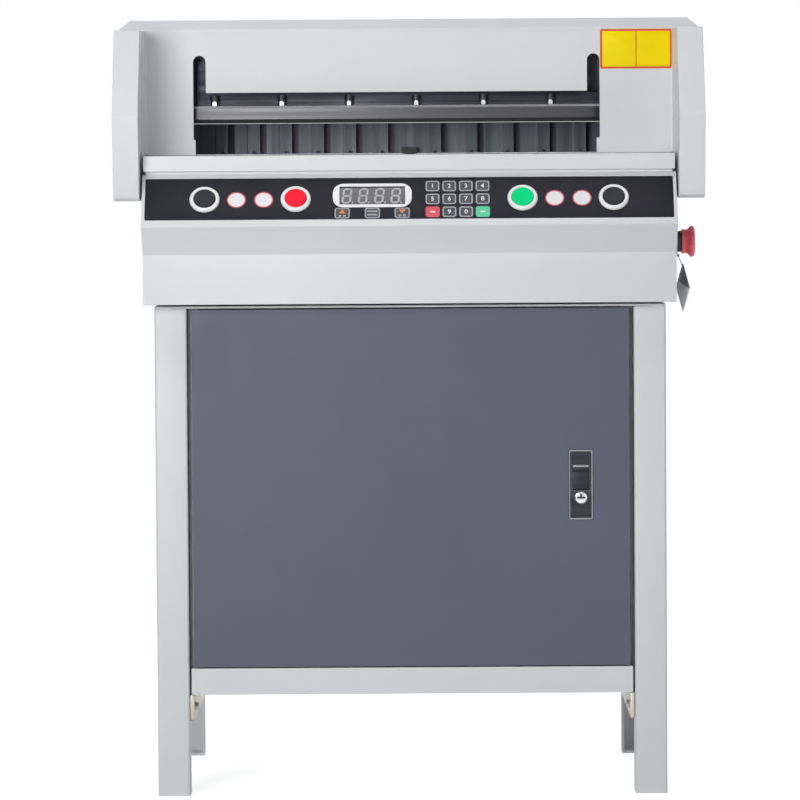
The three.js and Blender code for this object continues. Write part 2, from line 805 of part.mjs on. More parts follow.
// Emergency stop, in a group on the outside of the right wall; +X goes out.
const estop = group(base, halfBase, estopDepth, estopZ);

function collarSolid() {
  const blockFrom = -coverSheet - estopBlockFrom - estopBlockSize;
  const half = estopBlockSize / 2;
  const solid = join(
    bar('x', [0, 0], seatGap, seatGap + collarLength, collarRadius),
    bar('x', [0, 0], -coverSheet - estopBlockFrom, seatGap + coverSheet, estopBarrelRadius, smallSides),
    box(blockFrom, -coverSheet - estopBlockFrom, -half, half, -half, half),
  );
  return cut(solid, bar('x', [0, 0], blockFrom / 2, collarLength + overrun,
    estopStemRadius + runGap, smallSides));
}

function estopHeadSolid() {
  const neckStart = seatGap + collarLength + seatGap;
  const flareStart = neckStart + estopNeckLength;
  const rimStart = flareStart + estopFlare;
  const crownStart = rimStart + estopRim;
  const solid = join(
    bar('x', [0, 0], neckStart, flareStart, estopNeckRadius),
    bar('x', [0, 0], flareStart, rimStart, estopNeckRadius, roundSides, estopHeadRadius),
    bar('x', [0, 0], rimStart, crownStart, estopHeadRadius),
    bar('x', [0, 0], crownStart, crownStart + estopCrown, estopHeadRadius, roundSides, estopCrownRadius),
  );
  const skirt = bar('x', [0, 0], neckStart - overrun, neckStart + estopSkirtDepth,
    collarRadius + estopSkirtGap);
  const stem = bar('x', [0, 0], -coverSheet - estopBlockFrom, neckStart + estopSkirtDepth + estopRim,
    estopStemRadius, smallSides);
  return join(cut(solid, skirt), stem);
}

piece(estop, 'estop_collar', collarSolid(), blackPlastic);
piece(estop, 'estop_head', estopHeadSolid(), redPlastic);

// The tag hangs by a corner from a loop around the collar.
function hangTagSolid() {
  const loopInner = collarRadius + runGap;
  const loopOuter = loopInner + 2 * loopWire;
  const loop = cut(
    bar('x', [0, 0], loopOut - loopWire, loopOut + loopWire, loopOuter),
    bar('x', [0, 0], loopOut - overrun, loopOut + overrun, loopInner),
  );
  const top = tagTopZ - estopZ;
  const start = new THREE.Vector3(loopOut, 0, -loopInner - loopWire);
  const end = new THREE.Vector3(tagOut, 0, top - tagThickness);
  const stringLine = new THREE.LineCurve3(start, end);
  const ring = new THREE.Shape(Array.from({ length: loopSides }, (_, index) => {
    const angle = 2 * Math.PI * index / loopSides;
    return new THREE.Vector2(loopWire * Math.cos(angle), loopWire * Math.sin(angle));
  }));
  const string = solidOf(new THREE.ExtrudeGeometry(ring, {
    steps: 1, bevelEnabled: false, extrudePath: stringLine,
  }));
  const half = tagSide / Math.SQRT2;
  const plate = prismX([[0, -2 * half], [half, -half], [0, 0], [-half, -half]],
    -tagThickness / 2, tagThickness / 2)
    .rotate([0, 0, tagTurn]).translate([tagOut, 0, top]);
  return join(loop, string, plate);
}

piece(estop, 'hang_tag', hangTagSolid(), darkPanel);

// Table
const rodSlotLeft = lugX - crankThrow - rodBarWidth / 2 - rodSlotMargin;
const rodSlotRight = lugX + knifeSideTravel + rodEyeRadius;

function tablePlateSolid() {
  const half = tableWidth / 2;
  const plate = box(-half, half, tableFront, baseRear, tableLowZ, tableZ);
  const through = [tableLowZ - overrun, tableZ + overrun];
  const gaugeSlot = box(-gaugeSlotHalf, gaugeSlotHalf, gaugeSlotFront, baseRear + overrun, ...through);
  const rodSlot = box(rodSlotLeft, rodSlotRight, rodFront - crankDiscGap, rodBack + crankDiscGap, ...through);
  const grooveFloor = tableZ - stickHeight - seatGap;
  const groove = box(-stickHalfLength - seatGap, stickHalfLength + seatGap,
    knifeBack - stickWidth / 2 - seatGap, knifeBack + stickWidth / 2 + seatGap,
    grooveFloor, tableZ + overrun);
  return cut(plate, gaugeSlot, rodSlot, groove);
}

function rearTableSolid() {
  const front = baseRear + seatGap;
  const half = rearTableHalf;
  const low = tableZ - rearTableDrop;
  const tray = cut(
    box(-half, half, front, machineDepth, low, tableZ),
    box(coverSheet - half, half - coverSheet, front - overrun, machineDepth - coverSheet,
      low - overrun, tableZ - rearTablePlate),
    box(-gaugeSlotHalf, gaugeSlotHalf, front - overrun, front + rearSlotLength,
      tableZ - rearTablePlate - overrun, tableZ + overrun),
  );
  const tabRear = machineDepth - bearingTabInset;
  const tab = box(-bearingTabHalf, bearingTabHalf, tabRear - bearingTab, tabRear,
    screwZ - bearingTabLow, tableZ - rearTablePlate / 2);
  const bearing = bar('y', [0, screwZ], tabRear - bearingTab - overrun, tabRear + overrun,
    screwRadius + runGap, smallSides);
  return cut(join(tray, tab), bearing);
}

const table = group(machine);
piece(table, 'table_plate', tablePlateSolid(), tableSteel);
piece(table, 'cutting_stick',
  box(-stickHalfLength, stickHalfLength, knifeBack - stickWidth / 2, knifeBack + stickWidth / 2,
    tableZ - stickHeight, tableZ), whitePlastic);
piece(table, 'rear_table', rearTableSolid(), paint);

// Arm covers, each with a slot for its light-curtain strip on the inner wall
function armOutline() {
  const rise = armKinkZ - armLowZ;
  const corner = rise * armCornerShare;
  const lean = armLowDepth * (1 - corner / rise);
  return [
    [housingRear, armLowZ],
    [housingRear, armRoofZ],
    [armTopDepth + (armRoofZ - armTopZ), armRoofZ],
    [armTopDepth, armTopZ],
    [0, armKinkZ],
    [lean, armLowZ + corner],
    [armLowDepth + corner / 4, armLowZ + corner / 4],
    [armLowDepth + corner, armLowZ],
  ];
}

function armCoverSolid(sign) {
  const outline = armOutline();
  const inside = inset(outline, outline.map(() => coverSheet));
  const window = box(armInnerX - overrun, armInnerX + coverSheet + overrun,
    armWindowFront, armWindowRear, armWindowLowZ, armWindowHighZ);
  const curtainSlot = box(armInnerX - overrun, armInnerX + coverSheet + overrun,
    curtainFront - seatGap, curtainFront + curtainWidth + seatGap,
    curtainLowZ - seatGap, curtainHighZ + seatGap);
  return cut(
    prismX(outline, armInnerX, halfCover),
    prismX(inside, armInnerX + coverSheet, halfCover - coverSheet),
    window,
    curtainSlot,
  ).scale([sign, 1, 1]);
}

function curtainSolid(sign) {
  return box(armInnerX + seatGap, armInnerX + seatGap + curtainBody,
    curtainFront, curtainFront + curtainWidth, curtainLowZ, curtainHighZ).scale([sign, 1, 1]);
}

const upper = group(machine);
for (const [side, sign] of [['left', -1], ['right', 1]]) {
  piece(upper, `arm_cover_${side}`, armCoverSolid(sign), paint);
  piece(upper, `light_curtain_${side}`, curtainSolid(sign), curtainRed);
}

// Front cover: the throat is open down to the table, with a round-topped slot at each end.
function slotOutline(left, right) {
  const radius = (right - left) / 2;
  const centre = (left + right) / 2;
  const low = tableZ - overrun;
  const arc = Array.from({ length: slotArcSteps + 1 }, (_, index) => {
    const angle = Math.PI * index / slotArcSteps;
    return [centre + radius * Math.cos(angle), slotTopZ - radius + radius * Math.sin(angle)];
  });
  return [[left, low], [right, low], ...arc];
}

function frontCoverSolid() {
  const low = tableZ + seatGap;
  const high = armRoofZ - seatGap;
  const front = housingFront;
  const back = front + coverSheet;
  const tray = cut(
    box(-coverHalf, coverHalf, front, front + coverFlange, low, high),
    box(coverSheet - coverHalf, coverHalf - coverSheet, back, front + coverFlange + overrun,
      low - overrun, high - coverSheet),
  );
  const cutFront = front - overrun;
  const cutBack = back + overrun;
  const stepZ = tableZ + throatStepHeight;
  return cut(
    tray,
    box(throatLeftX + throatStepLeft, throatRightX - throatStepRight, cutFront, cutBack,
      low - overrun, apronZ),
    box(throatLeftX, throatRightX, cutFront, cutBack, stepZ, apronZ),
    cut(prismY(slotOutline(throatLeftX, throatLeftX + slotWidth), cutFront, cutBack),
      box(throatLeftX - overrun, throatRightX, cutFront, cutBack, low - 2 * overrun, stepZ)),
    cut(prismY(slotOutline(throatRightX - slotWidth, throatRightX), cutFront, cutBack),
      box(throatLeftX, throatRightX + overrun, cutFront, cutBack, low - 2 * overrun, stepZ)),
  );
}

function rearCoverSolid() {
  const low = tableZ + seatGap;
  const high = armRoofZ - seatGap;
  return cut(
    box(-coverHalf, coverHalf, housingRear - coverSheet, housingRear, low, high),
    box(-rearTableHalf, rearTableHalf, housingRear - coverSheet - overrun, housingRear + overrun,
      low - overrun, rearOpeningZ),
  );
}

// Top cover: a shallow tray with its bevel on all four sides.
function topCoverSolid() {
  const side = (half, bevel, low, fold, high) => [
    [-half, low], [half, low], [half, fold], [half - bevel, high], [bevel - half, high], [-half, fold]];
  const middle = (housingFront + housingRear) / 2;
  const halfDepth = (housingRear - housingFront) / 2;
  const halfWidth = roofWidth / 2;
  const outerFold = roofFoldZ + roofSkirt;
  const block = (shrink, low) => {
    const fold = outerFold - shrink / 2;
    const high = roofTopZ - shrink;
    const across = prismY(side(halfWidth - shrink, roofBevel, low, fold, high),
      housingFront - overrun, housingRear + overrun);
    const along = prismX(side(halfDepth - shrink, roofBevel, low, fold, high)
      .map(([u, v]) => [u + middle, v]), -halfWidth - overrun, halfWidth + overrun);
    return across.intersect(along);
  };
  return cut(block(0, roofFoldZ), block(coverSheet, roofFoldZ - overrun));
}

piece(upper, 'front_cover', frontCoverSolid(), paint);
piece(upper, 'rear_cover', rearCoverSolid(), paint);
piece(upper, 'top_cover', topCoverSolid(), paint);

// Side frames stand on the table; their bosses carry the arm covers.
function sideFrameSolid(sign) {
  const outerX = frameInnerX + framePlate;
  const low = tableZ + seatGap;
  const plate = box(frameInnerX, outerX, frameFront, frameRear, low, frameTopZ);
  const bosses = [];
  for (const depth of [frameFront + bossInset, frameRear - bossInset]) {
    for (const height of [low + bossLowInset, frameTopZ - bossLowInset]) {
      bosses.push(bar('x', [depth, height], outerX - framePlate / 2, armInnerX - seatGap,
        bossRadius, smallSides));
    }
  }
  return join(plate, ...bosses).scale([sign, 1, 1]);
}

function crossbeamSolid() {
  const half = frameInnerX - seatGap;
  const webBack = beamFront + beamWeb;
  const beam = prismX([
    [beamFront, beamWebLowZ], [webBack, beamWebLowZ], [webBack, beamFlangeLowZ],
    [beamRear, beamFlangeLowZ], [beamRear, beamTopZ], [beamFront, beamTopZ],
  ], -half, half);
  const pins = [guidePinLeftX, guidePinRightX].map((x) => bar('y', [x, guidePinZ],
    carrierFront + seatGap, beamFront + beamWeb / 2, guidePinRadius, smallSides));
  const screwBore = bar('z', [0, clampFront + clampDepth / 2], beamFlangeLowZ - overrun,
    beamTopZ + overrun, clampScrewRadius + runGap, smallSides);
  return cut(join(beam, ...pins), screwBore);
}

piece(upper, 'side_frame_left', sideFrameSolid(-1), castIron);
piece(upper, 'side_frame_right', sideFrameSolid(1), castIron);
piece(upper, 'crossbeam', crossbeamSolid(), castIron);

// Knife carrier: slanted slots run on the crossbeam's guide pins.
function guideSlot(pinX) {
  const reach = guidePinRadius + runGap;
  const length = Math.hypot(knifeSideTravel, knifeDrop);
  const away = [-knifeSideTravel / length, knifeDrop / length];
  const heading = Math.atan2(away[1], away[0]);
  const points = [];
  for (const [endShare, turn] of [[0, Math.PI / 2], [1, -Math.PI / 2]]) {
    for (let index = 0; index <= slotArcSteps; index += 1) {
      const angle = heading + turn + Math.PI * index / slotArcSteps;
      points.push([
        pinX + away[0] * (length + runGap) * endShare + reach * Math.cos(angle),
        guidePinZ + away[1] * (length + runGap) * endShare + reach * Math.sin(angle),
      ]);
    }
  }
  return prismY(points, carrierFront - overrun, carrierBack + overrun);
}

function knifeCarrierSolid() {
  const plate = prismY([
    [carrierLeftX, carrierLowZ],
    [lugX + lugMargin, carrierLowZ],
    [lugX + lugMargin, carrierShoulderZ],
    [carrierRightX, carrierShoulderZ],
    [carrierRightX, carrierTopZ],
    [carrierLeftX + carrierCornerX, carrierTopZ],
    [carrierLeftX, carrierCornerZ],
  ], carrierFront, carrierBack);
  const pinBore = bar('y', [lugX, lugZ], carrierFront - overrun, carrierBack + overrun,
    crankPinRadius + runGap, smallSides);
  const adjusters = [];
  const adjusterY = carrierFront - adjusterHeadRadius + runGap * 2;
  for (let index = 0; index < adjusterCount; index += 1) {
    const place = [adjusterFirstX + index * adjusterPitch, adjusterY];
    adjusters.push(bar('z', place, adjusterHeadZ, adjusterHeadZ + adjusterHeadHeight,
      adjusterHeadRadius, hexSides));
    adjusters.push(bar('z', place, knifeTopZ + seatGap, adjusterHeadZ + runGap,
      adjusterShankRadius, smallSides / 2));
  }
  return join(cut(plate, guideSlot(guidePinLeftX), guideSlot(guidePinRightX), pinBore), ...adjusters);
}

function knifeSolid() {
  return prismX([
    [knifeFront, knifeBevelZ],
    [knifeBack, knifeEdgeZ],
    [knifeBack, knifeTopZ],
    [knifeFront + knifeChamfer, knifeTopZ],
    [knifeFront, knifeTopZ - knifeChamfer],
  ], knifeLeftX, knifeRightX);
}

const knifeUnit = group(machine);
piece(knifeUnit, 'knife_carrier', knifeCarrierSolid(), darkSteel);
piece(knifeUnit, 'knife', knifeSolid(), steel);

// Crank drive under the table, in a group at the crank's centre.
const crank = group(machine, lugX, 0, crankZ);

function crankDiscSolid() {
  return cut(
    join(
      bar('y', [0, 0], discFront, discBack, crankDiscRadius),
      bar('y', [0, crankThrow], rodFront - seatGap, discFront + crankDiscThickness / 2,
        crankPinRadius, smallSides),
    ),
    bar('y', [0, 0], discFront + crankDiscThickness / 4, discBack + overrun,
      driveShaftRadius + runGap, smallSides),
  );
}

function connectingRodSolid() {
  const low = crankThrow;
  const high = crankThrow + rodLength;
  const arm = join(
    bar('y', [0, low], rodFront, rodBack, rodEyeRadius),
    bar('y', [0, high], rodFront, rodBack, rodEyeRadius),
    box(-rodBarWidth / 2, rodBarWidth / 2, rodFront, rodBack, low, high),
  );
  return cut(arm,
    bar('y', [0, low], rodFront - overrun, rodBack + overrun, crankPinRadius + runGap, smallSides),
    bar('y', [0, high], rodFront - overrun, rodBack + overrun, crankPinRadius + runGap, smallSides));
}

function driveGearmotorSolid() {
  const front = discBack + driveShaftGap;
  const rear = front + gearboxDepth;
  const low = baseLowZ + coverSheet + seatGap - crankZ;
  const half = gearboxWidth / 2;
  const motorDepth = (front + rear) / 2;
  return join(
    box(-half, half, front, rear, low, gearboxTopAboveShaft),
    bar('y', [0, 0], discFront + crankDiscThickness / 4 + seatGap, front + driveShaftGap,
      driveShaftRadius, smallSides),
    bar('x', [motorDepth, 0], -half - driveMotorLength, weld - half, driveMotorRadius),
  );
}

piece(crank, 'crank_disc', crankDiscSolid(), steel);
piece(crank, 'connecting_rod', connectingRodSolid(), castIron);
piece(crank, 'drive_gearmotor', driveGearmotorSolid(), castIron);

// Clamp behind the knife
const clampMiddle = clampFront + clampDepth / 2;
const clampUnit = group(machine, 0, clampMiddle, 0);

function clampBeamSolid() {
  const half = clampDepth / 2;
  return cut(
    box(knifeLeftX, knifeRightX, -half, half, clampLowZ, clampTopZ),
    bar('z', [0, 0], clampLowZ + clampBoreFloor, clampTopZ + overrun,
      clampScrewRadius + runGap, smallSides),
  );
}

function clampGearmotorSolid() {
  const low = beamTopZ + seatGap;
  const front = clampBoxFront - clampMiddle;
  const rear = beamRear - clampMiddle;
  const solid = join(
    box(-clampBoxHalf, clampBoxHalf, front, rear, low, low + clampBoxHeight),
    bar('y', [0, clampMotorZ], rear + seatGap, rear + clampMotorLength, clampMotorRadius),
    box(-clampMotorRadius / 2, clampMotorRadius / 2, rear - weld, rear + weld,
      low + weld, low + clampBoxHeight - weld),
  );
  return cut(solid, bar('z', [0, 0], low - overrun, clampScrewTopZ + seatGap,
    clampScrewRadius + runGap, smallSides));
}

piece(clampUnit, 'clamp_beam', clampBeamSolid(), aluminium);
piece(clampUnit, 'clamp_screw',
  bar('z', [0, 0], clampScrewEndZ, clampScrewTopZ, clampScrewRadius, smallSides), steel);
piece(clampUnit, 'clamp_gearmotor', clampGearmotorSolid(), castIron);

// Back gauge, in a group at its face.
const gauge = group(machine, 0, gaugeFace, 0);

function backGaugeSolid() {
  const high = gaugeLowZ + gaugeHeight;
  const plateBack = finDepth + gaugePlate;
  const slots = [];
  const addSlot = (x) => slots.push(box(x - finSlotWidth / 2, x + finSlotWidth / 2,
    -overrun, finDepth, gaugeLowZ - overrun, high + overrun));
  for (let index = 0; index < slotCountRight; index += 1) {
    addSlot(firstSlotRight + index * finPitchRight);
  }
  for (let index = 0; index < slotCountLeft; index += 1) {
    addSlot(firstSlotLeft - index * finPitchLeft);
  }
  const foot = box(gaugeLeftX, gaugeRightX, plateBack - gaugePlate / 2, plateBack + gaugeFoot,
    gaugeLowZ, gaugeLowZ + gaugeFootHeight);
  return join(cut(box(gaugeLeftX, gaugeRightX, 0, plateBack, gaugeLowZ, high), ...slots), foot);
}

function gaugeNutSolid() {
  const neckHalf = gaugeSlotHalf - runGap;
  const blockTop = screwZ + nutBlockHeight / 2;
  const neckTop = gaugeLowZ - seatGap;
  const blockRear = finDepth + gaugePlate + gaugeFoot / 2;
  const footFront = -nutFootDepth - seatGap;
  return cut(
    join(
      box(-nutBlockHalf, nutBlockHalf, blockRear - nutBlockLength, blockRear,
        screwZ - nutBlockHeight / 2, blockTop),
      box(-neckHalf, neckHalf, footFront, blockRear, blockTop - seatGap, neckTop),
      box(-nutFootHalf, nutFootHalf, footFront, -seatGap, neckTop - seatGap / 2, neckTop + nutFootHeight),
    ),
    bar('y', [0, screwZ], footFront - overrun, blockRear + overrun, screwRadius + runGap, smallSides),
  );
}

piece(gauge, 'back_gauge', backGaugeSolid(), aluminium);
piece(gauge, 'gauge_nut', gaugeNutSolid(), blackPlastic);

// Lead screw and its motor, in a group on the screw's axis.
const screwLine = group(machine, 0, 0, screwZ);

function leadScrewSolid() {
  const hubFront = screwFront - hubLength / 2;
  const solid = join(
    bar('y', [0, 0], hubFront, screwRear, screwRadius, smallSides),
    bar('y', [0, 0], hubFront, hubFront + hubLength, hubRadius, smallSides),
  );
  return cut(solid, bar('y', [0, 0], hubFront - overrun, hubFront + motorShaftReach + seatGap,
    motorShaftRadius + runGap, smallSides));
}

function gaugeMotorSolid() {
  const half = gaugeMotorSize / 2;
  const rear = screwFront - hubLength / 2 - seatGap;
  const front = rear - gaugeMotorLength;
  const hanger = tableLowZ - seatGap - screwZ;
  return join(
    box(-half, half, front, rear, -half, half),
    box(-half, half, rear - coverSheet * 2, rear, 0, hanger),
    bar('y', [0, 0], rear - coverSheet, rear + motorShaftReach, motorShaftRadius, smallSides),
  );
}

piece(screwLine, 'gauge_lead_screw', leadScrewSolid(), steel);
piece(screwLine, 'gauge_motor', gaugeMotorSolid(), blackPlastic);

export default paperCutter;
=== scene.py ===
# %% [markdown]
# # An electric paper cutter, piece by piece
#
# The machine is a guillotine for stacks of paper: a sheet-metal body on a stand, a knife that
# slides down through a throat, a back gauge behind it, and a tilted control panel in front.
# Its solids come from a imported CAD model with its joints. This file dresses them: it gives each
# solid a finish, and puts a more detailed piece in the place of a solid where the eye would miss
# rolled edges, screws, print or threads.

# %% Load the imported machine
import json
import math

import bmesh
import bpy
from mathutils import Matrix, Vector


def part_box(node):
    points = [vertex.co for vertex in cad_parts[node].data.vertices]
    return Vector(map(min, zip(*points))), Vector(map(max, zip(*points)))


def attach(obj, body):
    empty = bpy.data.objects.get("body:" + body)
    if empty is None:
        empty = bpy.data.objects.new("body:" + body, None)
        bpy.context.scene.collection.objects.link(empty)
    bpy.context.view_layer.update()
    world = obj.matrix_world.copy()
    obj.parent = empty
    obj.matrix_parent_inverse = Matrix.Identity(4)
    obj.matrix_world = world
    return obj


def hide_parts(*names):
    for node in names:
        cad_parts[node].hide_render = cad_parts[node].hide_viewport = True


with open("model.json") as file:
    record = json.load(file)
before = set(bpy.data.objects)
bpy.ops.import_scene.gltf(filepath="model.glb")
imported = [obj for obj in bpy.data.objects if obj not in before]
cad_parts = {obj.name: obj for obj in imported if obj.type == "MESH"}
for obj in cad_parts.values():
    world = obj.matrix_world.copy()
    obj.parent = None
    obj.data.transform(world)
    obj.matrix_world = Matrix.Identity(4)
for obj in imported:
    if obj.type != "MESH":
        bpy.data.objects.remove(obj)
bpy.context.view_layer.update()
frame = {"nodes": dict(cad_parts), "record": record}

# %% [markdown]
# ## Places in millimetres
#
# A maker's drawing of such a machine is in millimetres, with depths measured from the front edge
# of the console. Blender wants metres, with the middle of the machine at Y = 0. So the shapes
# below are drawn in millimetres as (across, depth, height), and one matrix takes them to Blender.

# %% From the drawing to Blender
MM = 0.001
CONSOLE_FRONT = -380.0
TO_METRES = Matrix.Scale(MM, 4) @ Matrix.Translation((0, CONSOLE_FRONT, 0))
SIDES = (("left", -1), ("right", 1))


def spot(across, depth, height):
    """A place on the drawing, in Blender's metres."""
    return TO_METRES @ Vector((across, depth, height))


def span(node):
    """A CAD node's box on the drawing: (across, across), (depth, depth), (height, height)."""
    low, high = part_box(node)
    ends = TO_METRES.inverted() @ low, TO_METRES.inverted() @ high
    return [tuple(round(end[axis], 3) for end in ends) for axis in range(3)]


def middle_of(*pairs):
    """The middle of each (low, high) pair."""
    return tuple(sum(pair) / 2 for pair in pairs)


def around(middle, half):
    """The (low, high) pair that reaches as far to both sides of a place."""
    return middle - half, middle + half


def inside(pair, margin):
    """A (low, high) pair drawn in by a margin at both ends."""
    return pair[0] + margin, pair[1] - margin


print("table:", span("table_plate"))

# %% [markdown]
# ## Camera
#
# The photograph was taken almost square to the front, from a good distance with a long lens, a little
# below the throat, looking slightly down. Place, lens and turns were fitted to edges measured in the
# picture.

# %% Place the camera
CAMERA_ACROSS, CAMERA_DISTANCE, CAMERA_HEIGHT = 11.6, 6427, 821.8
LENS = 235.04
LOOK_DOWN, LOOK_LEFT, ROLL = (math.radians(angle) for angle in (2.879, 0.218, -0.376))
SIGHT_LIMIT = 60              # metres, beyond the floor's far edge


def new_object(name, data):
    thing = bpy.data.objects.new(name, data)
    bpy.context.scene.collection.objects.link(thing)
    return thing


camera = new_object("camera", bpy.data.cameras.new("camera"))
bpy.context.scene.camera = camera
camera.data.lens = LENS
camera.data.clip_end = SIGHT_LIMIT
camera.matrix_world = (Matrix.Translation(spot(CAMERA_ACROSS, -CAMERA_DISTANCE, CAMERA_HEIGHT))
                       @ Matrix.Rotation(LOOK_LEFT, 4, "Z")
                       @ Matrix.Rotation(math.pi / 2 - LOOK_DOWN, 4, "X")
                       @ Matrix.Rotation(ROLL, 4, "Z"))
print("camera at", tuple(round(value, 3) for value in camera.matrix_world.translation))

# %% [markdown]
# ## Node trees
#
# Light, finishes and repeated pieces are all made by node trees. One helper adds a node to any of
# them and feeds its inputs with other nodes' sockets or with plain values.

# %% Helpers for nodes
WHITE = (1, 1, 1, 1)


def connect(tree, source, socket):
    if isinstance(source, bpy.types.NodeSocket):
        tree.links.new(source, socket)
    else:
        socket.default_value = source


def feed(tree, node, *ordered, **named):
    """Feeds a node's inputs, in their order or by name; returns the node."""
    for index, source in enumerate(ordered):
        connect(tree, source, node.inputs[index])
    for label, source in named.items():
        connect(tree, source, node.inputs[label.replace("_", " ")])
    return node


def add_node(tree, kind, *ordered, settings=None, **named):
    """A new node with its settings made and its inputs fed."""
    node = tree.nodes.new(kind)
    for attribute, value in (settings or {}).items():
        setattr(node, attribute, value)
    return feed(tree, node, *ordered, **named)


def math_node(tree, operation, *sources):
    return add_node(tree, "ShaderNodeMath", *sources, settings={"operation": operation}).outputs[0]


def object_place(tree):
    return tree.nodes.new("ShaderNodeTexCoord").outputs["Object"]


print("node helpers ready")

# %% [markdown]
# ## Floor, backdrop and light
#
# A photographer's product table: a pale floor with a soft shadow, and a white background. Both
# are white only for the camera, for reflections and through glass, so they light the machine no
# more than a pale room would. The main lamp stands left of the camera and hardly higher than the
# machine, as the photograph's shading says: the left housing shades the column beside it, and
# the machine gets darker towards its lower right corner.

# %% Make the studio
LAMPS = {
    "key": ((-1000, -2560, 1050), 1.05, 43.4),
    "right_fill": ((2600, -3000, 850), 2.2, 16.5),
    "overhead": ((0, -300, 3300), 2.6, 24.0),
    "back_fill": ((600, 3900, 2400), 3.0, 45.0),
}
LIT_POINT = spot(0, 120, 560)
WORLD_STRENGTH = 0.17


def seen_directly(tree):
    """1 for the camera's rays and for those that come by a reflection or through glass."""
    path = tree.nodes.new("ShaderNodeLightPath")
    mirrored = math_node(tree, "MAXIMUM", path.outputs["Is Glossy Ray"],
                         path.outputs["Is Transmission Ray"])
    return math_node(tree, "MAXIMUM", path.outputs["Is Camera Ray"], mirrored)


def add_lamp(name, place, size, power):
    lamp = new_object(name, bpy.data.lights.new(name, "AREA"))
    lamp.data.shape = "DISK"
    lamp.data.size = size
    lamp.data.energy = power
    lamp.location = spot(*place)
    lamp.rotation_euler = (LIT_POINT - lamp.location).to_track_quat("-Z", "Y").to_euler()


for lamp_name, (place, size, power) in LAMPS.items():
    add_lamp(lamp_name, place, size, power)

world = bpy.data.worlds.new("studio")
bpy.context.scene.world = world
world.use_nodes = True
sky_tree = world.node_tree
sky = feed(sky_tree, sky_tree.nodes["Background"], Color=WHITE, Strength=WORLD_STRENGTH)
white_sky = add_node(sky_tree, "ShaderNodeBackground", Color=WHITE)
sky_mix = add_node(sky_tree, "ShaderNodeMixShader", seen_directly(sky_tree), sky.outputs[0],
                   white_sky.outputs[0])
feed(sky_tree, sky_tree.nodes["World Output"], sky_mix.outputs[0])
print("lamps:", len(LAMPS))

# %% Make the floor
FLOOR_GREY = 0.82
FLOOR_REACH = 14.0
FLOOR_LIFT = 0.72             # white that the lens sees on top of the lit floor
FADE_FROM, FADE_TO = 0.9, 3.2

floor_mesh = bpy.data.meshes.new("floor")
floor_mesh.from_pydata(
    [(x * FLOOR_REACH, y * FLOOR_REACH, 0) for x, y in ((-1, -1), (1, -1), (1, 1), (-1, 1))],
    [], [(0, 1, 2, 3)])
new_object("floor", floor_mesh)

floor_look = bpy.data.materials.new("pale_floor")
floor_look.use_nodes = True
floor_tree = floor_look.node_tree
floor_shader = feed(floor_tree, floor_tree.nodes["Principled BSDF"], Roughness=0.9,
                    Base_Color=(FLOOR_GREY,) * 3 + (1,), Specular_IOR_Level=0.1)
seen = seen_directly(floor_tree)
lift = add_node(floor_tree, "ShaderNodeEmission",
                Strength=math_node(floor_tree, "MULTIPLY", seen, FLOOR_LIFT))
lit = add_node(floor_tree, "ShaderNodeAddShader", floor_shader.outputs[0], lift.outputs[0])
white_floor = add_node(floor_tree, "ShaderNodeEmission")
distance = add_node(floor_tree, "ShaderNodeVectorMath", object_place(floor_tree),
                    settings={"operation": "LENGTH"})
fade = add_node(floor_tree, "ShaderNodeMapRange", distance.outputs["Value"], FADE_FROM, FADE_TO,
                settings={"interpolation_type": "SMOOTHSTEP"})
floor_mix = add_node(floor_tree, "ShaderNodeMixShader",
                     math_node(floor_tree, "MULTIPLY", seen, fade.outputs[0]), lit.outputs[0],
                     white_floor.outputs[0])
feed(floor_tree, floor_tree.nodes["Material Output"], floor_mix.outputs[0])
floor_mesh.materials.append(floor_look)
print("floor reaches", FLOOR_REACH, "m")

bpy.context.scene.view_settings.view_transform = "Standard"

# %% [markdown]
# ## Effects that several finishes share
#
# Powder coat has a fine orange-peel skin, ground and rolled metal has lines along one direction,
# handling polishes edges, and dust lies on what faces up. Each effect is a shader node group,
# built once, that reads Object coordinates and puts out only a mask or a height. A finish places
# the group with its own sizes, so one change to a group reaches them all.

# %% Helpers for shader groups
def start_group(name, inputs, outputs):
    """An empty shader group with inputs {name: value}: its tree, its inputs and its output node."""
    tree = bpy.data.node_groups.new(name, "ShaderNodeTree")
    for label, value in inputs.items():
        socket = tree.interface.new_socket(label, in_out="INPUT", socket_type="NodeSocketFloat")
        socket.default_value = value
    for label in outputs:
        tree.interface.new_socket(label, in_out="OUTPUT", socket_type="NodeSocketFloat")
    return tree, tree.nodes.new("NodeGroupInput").outputs, tree.nodes.new("NodeGroupOutput")


def noise_node(tree, place, scale, detail, roughness):
    return add_node(tree, "ShaderNodeTexNoise", place, Scale=scale, Detail=detail,
                    Roughness=roughness).outputs["Fac"]


def ramp_node(tree, value, low, high, to_low=0.0, to_high=1.0):
    return add_node(tree, "ShaderNodeMapRange", value, low, high, to_low, to_high).outputs[0]


print("group helpers ready")

# %% Orange peel of powder coat: a fine height and a slow change of shade
peel, peel_in, peel_out = start_group(
    "orange_peel", {"Grains per metre": 900.0, "Cloud per metre": 6.0}, ["Height", "Cloud"])
place = object_place(peel)
grain = noise_node(peel, place, peel_in["Grains per metre"], 2.0, 0.6)
cloud = noise_node(peel, place, peel_in["Cloud per metre"], 4.0, 0.6)
feed(peel, peel_out, Height=grain, Cloud=ramp_node(peel, cloud, 0.3, 0.7))
print("built", peel.name)

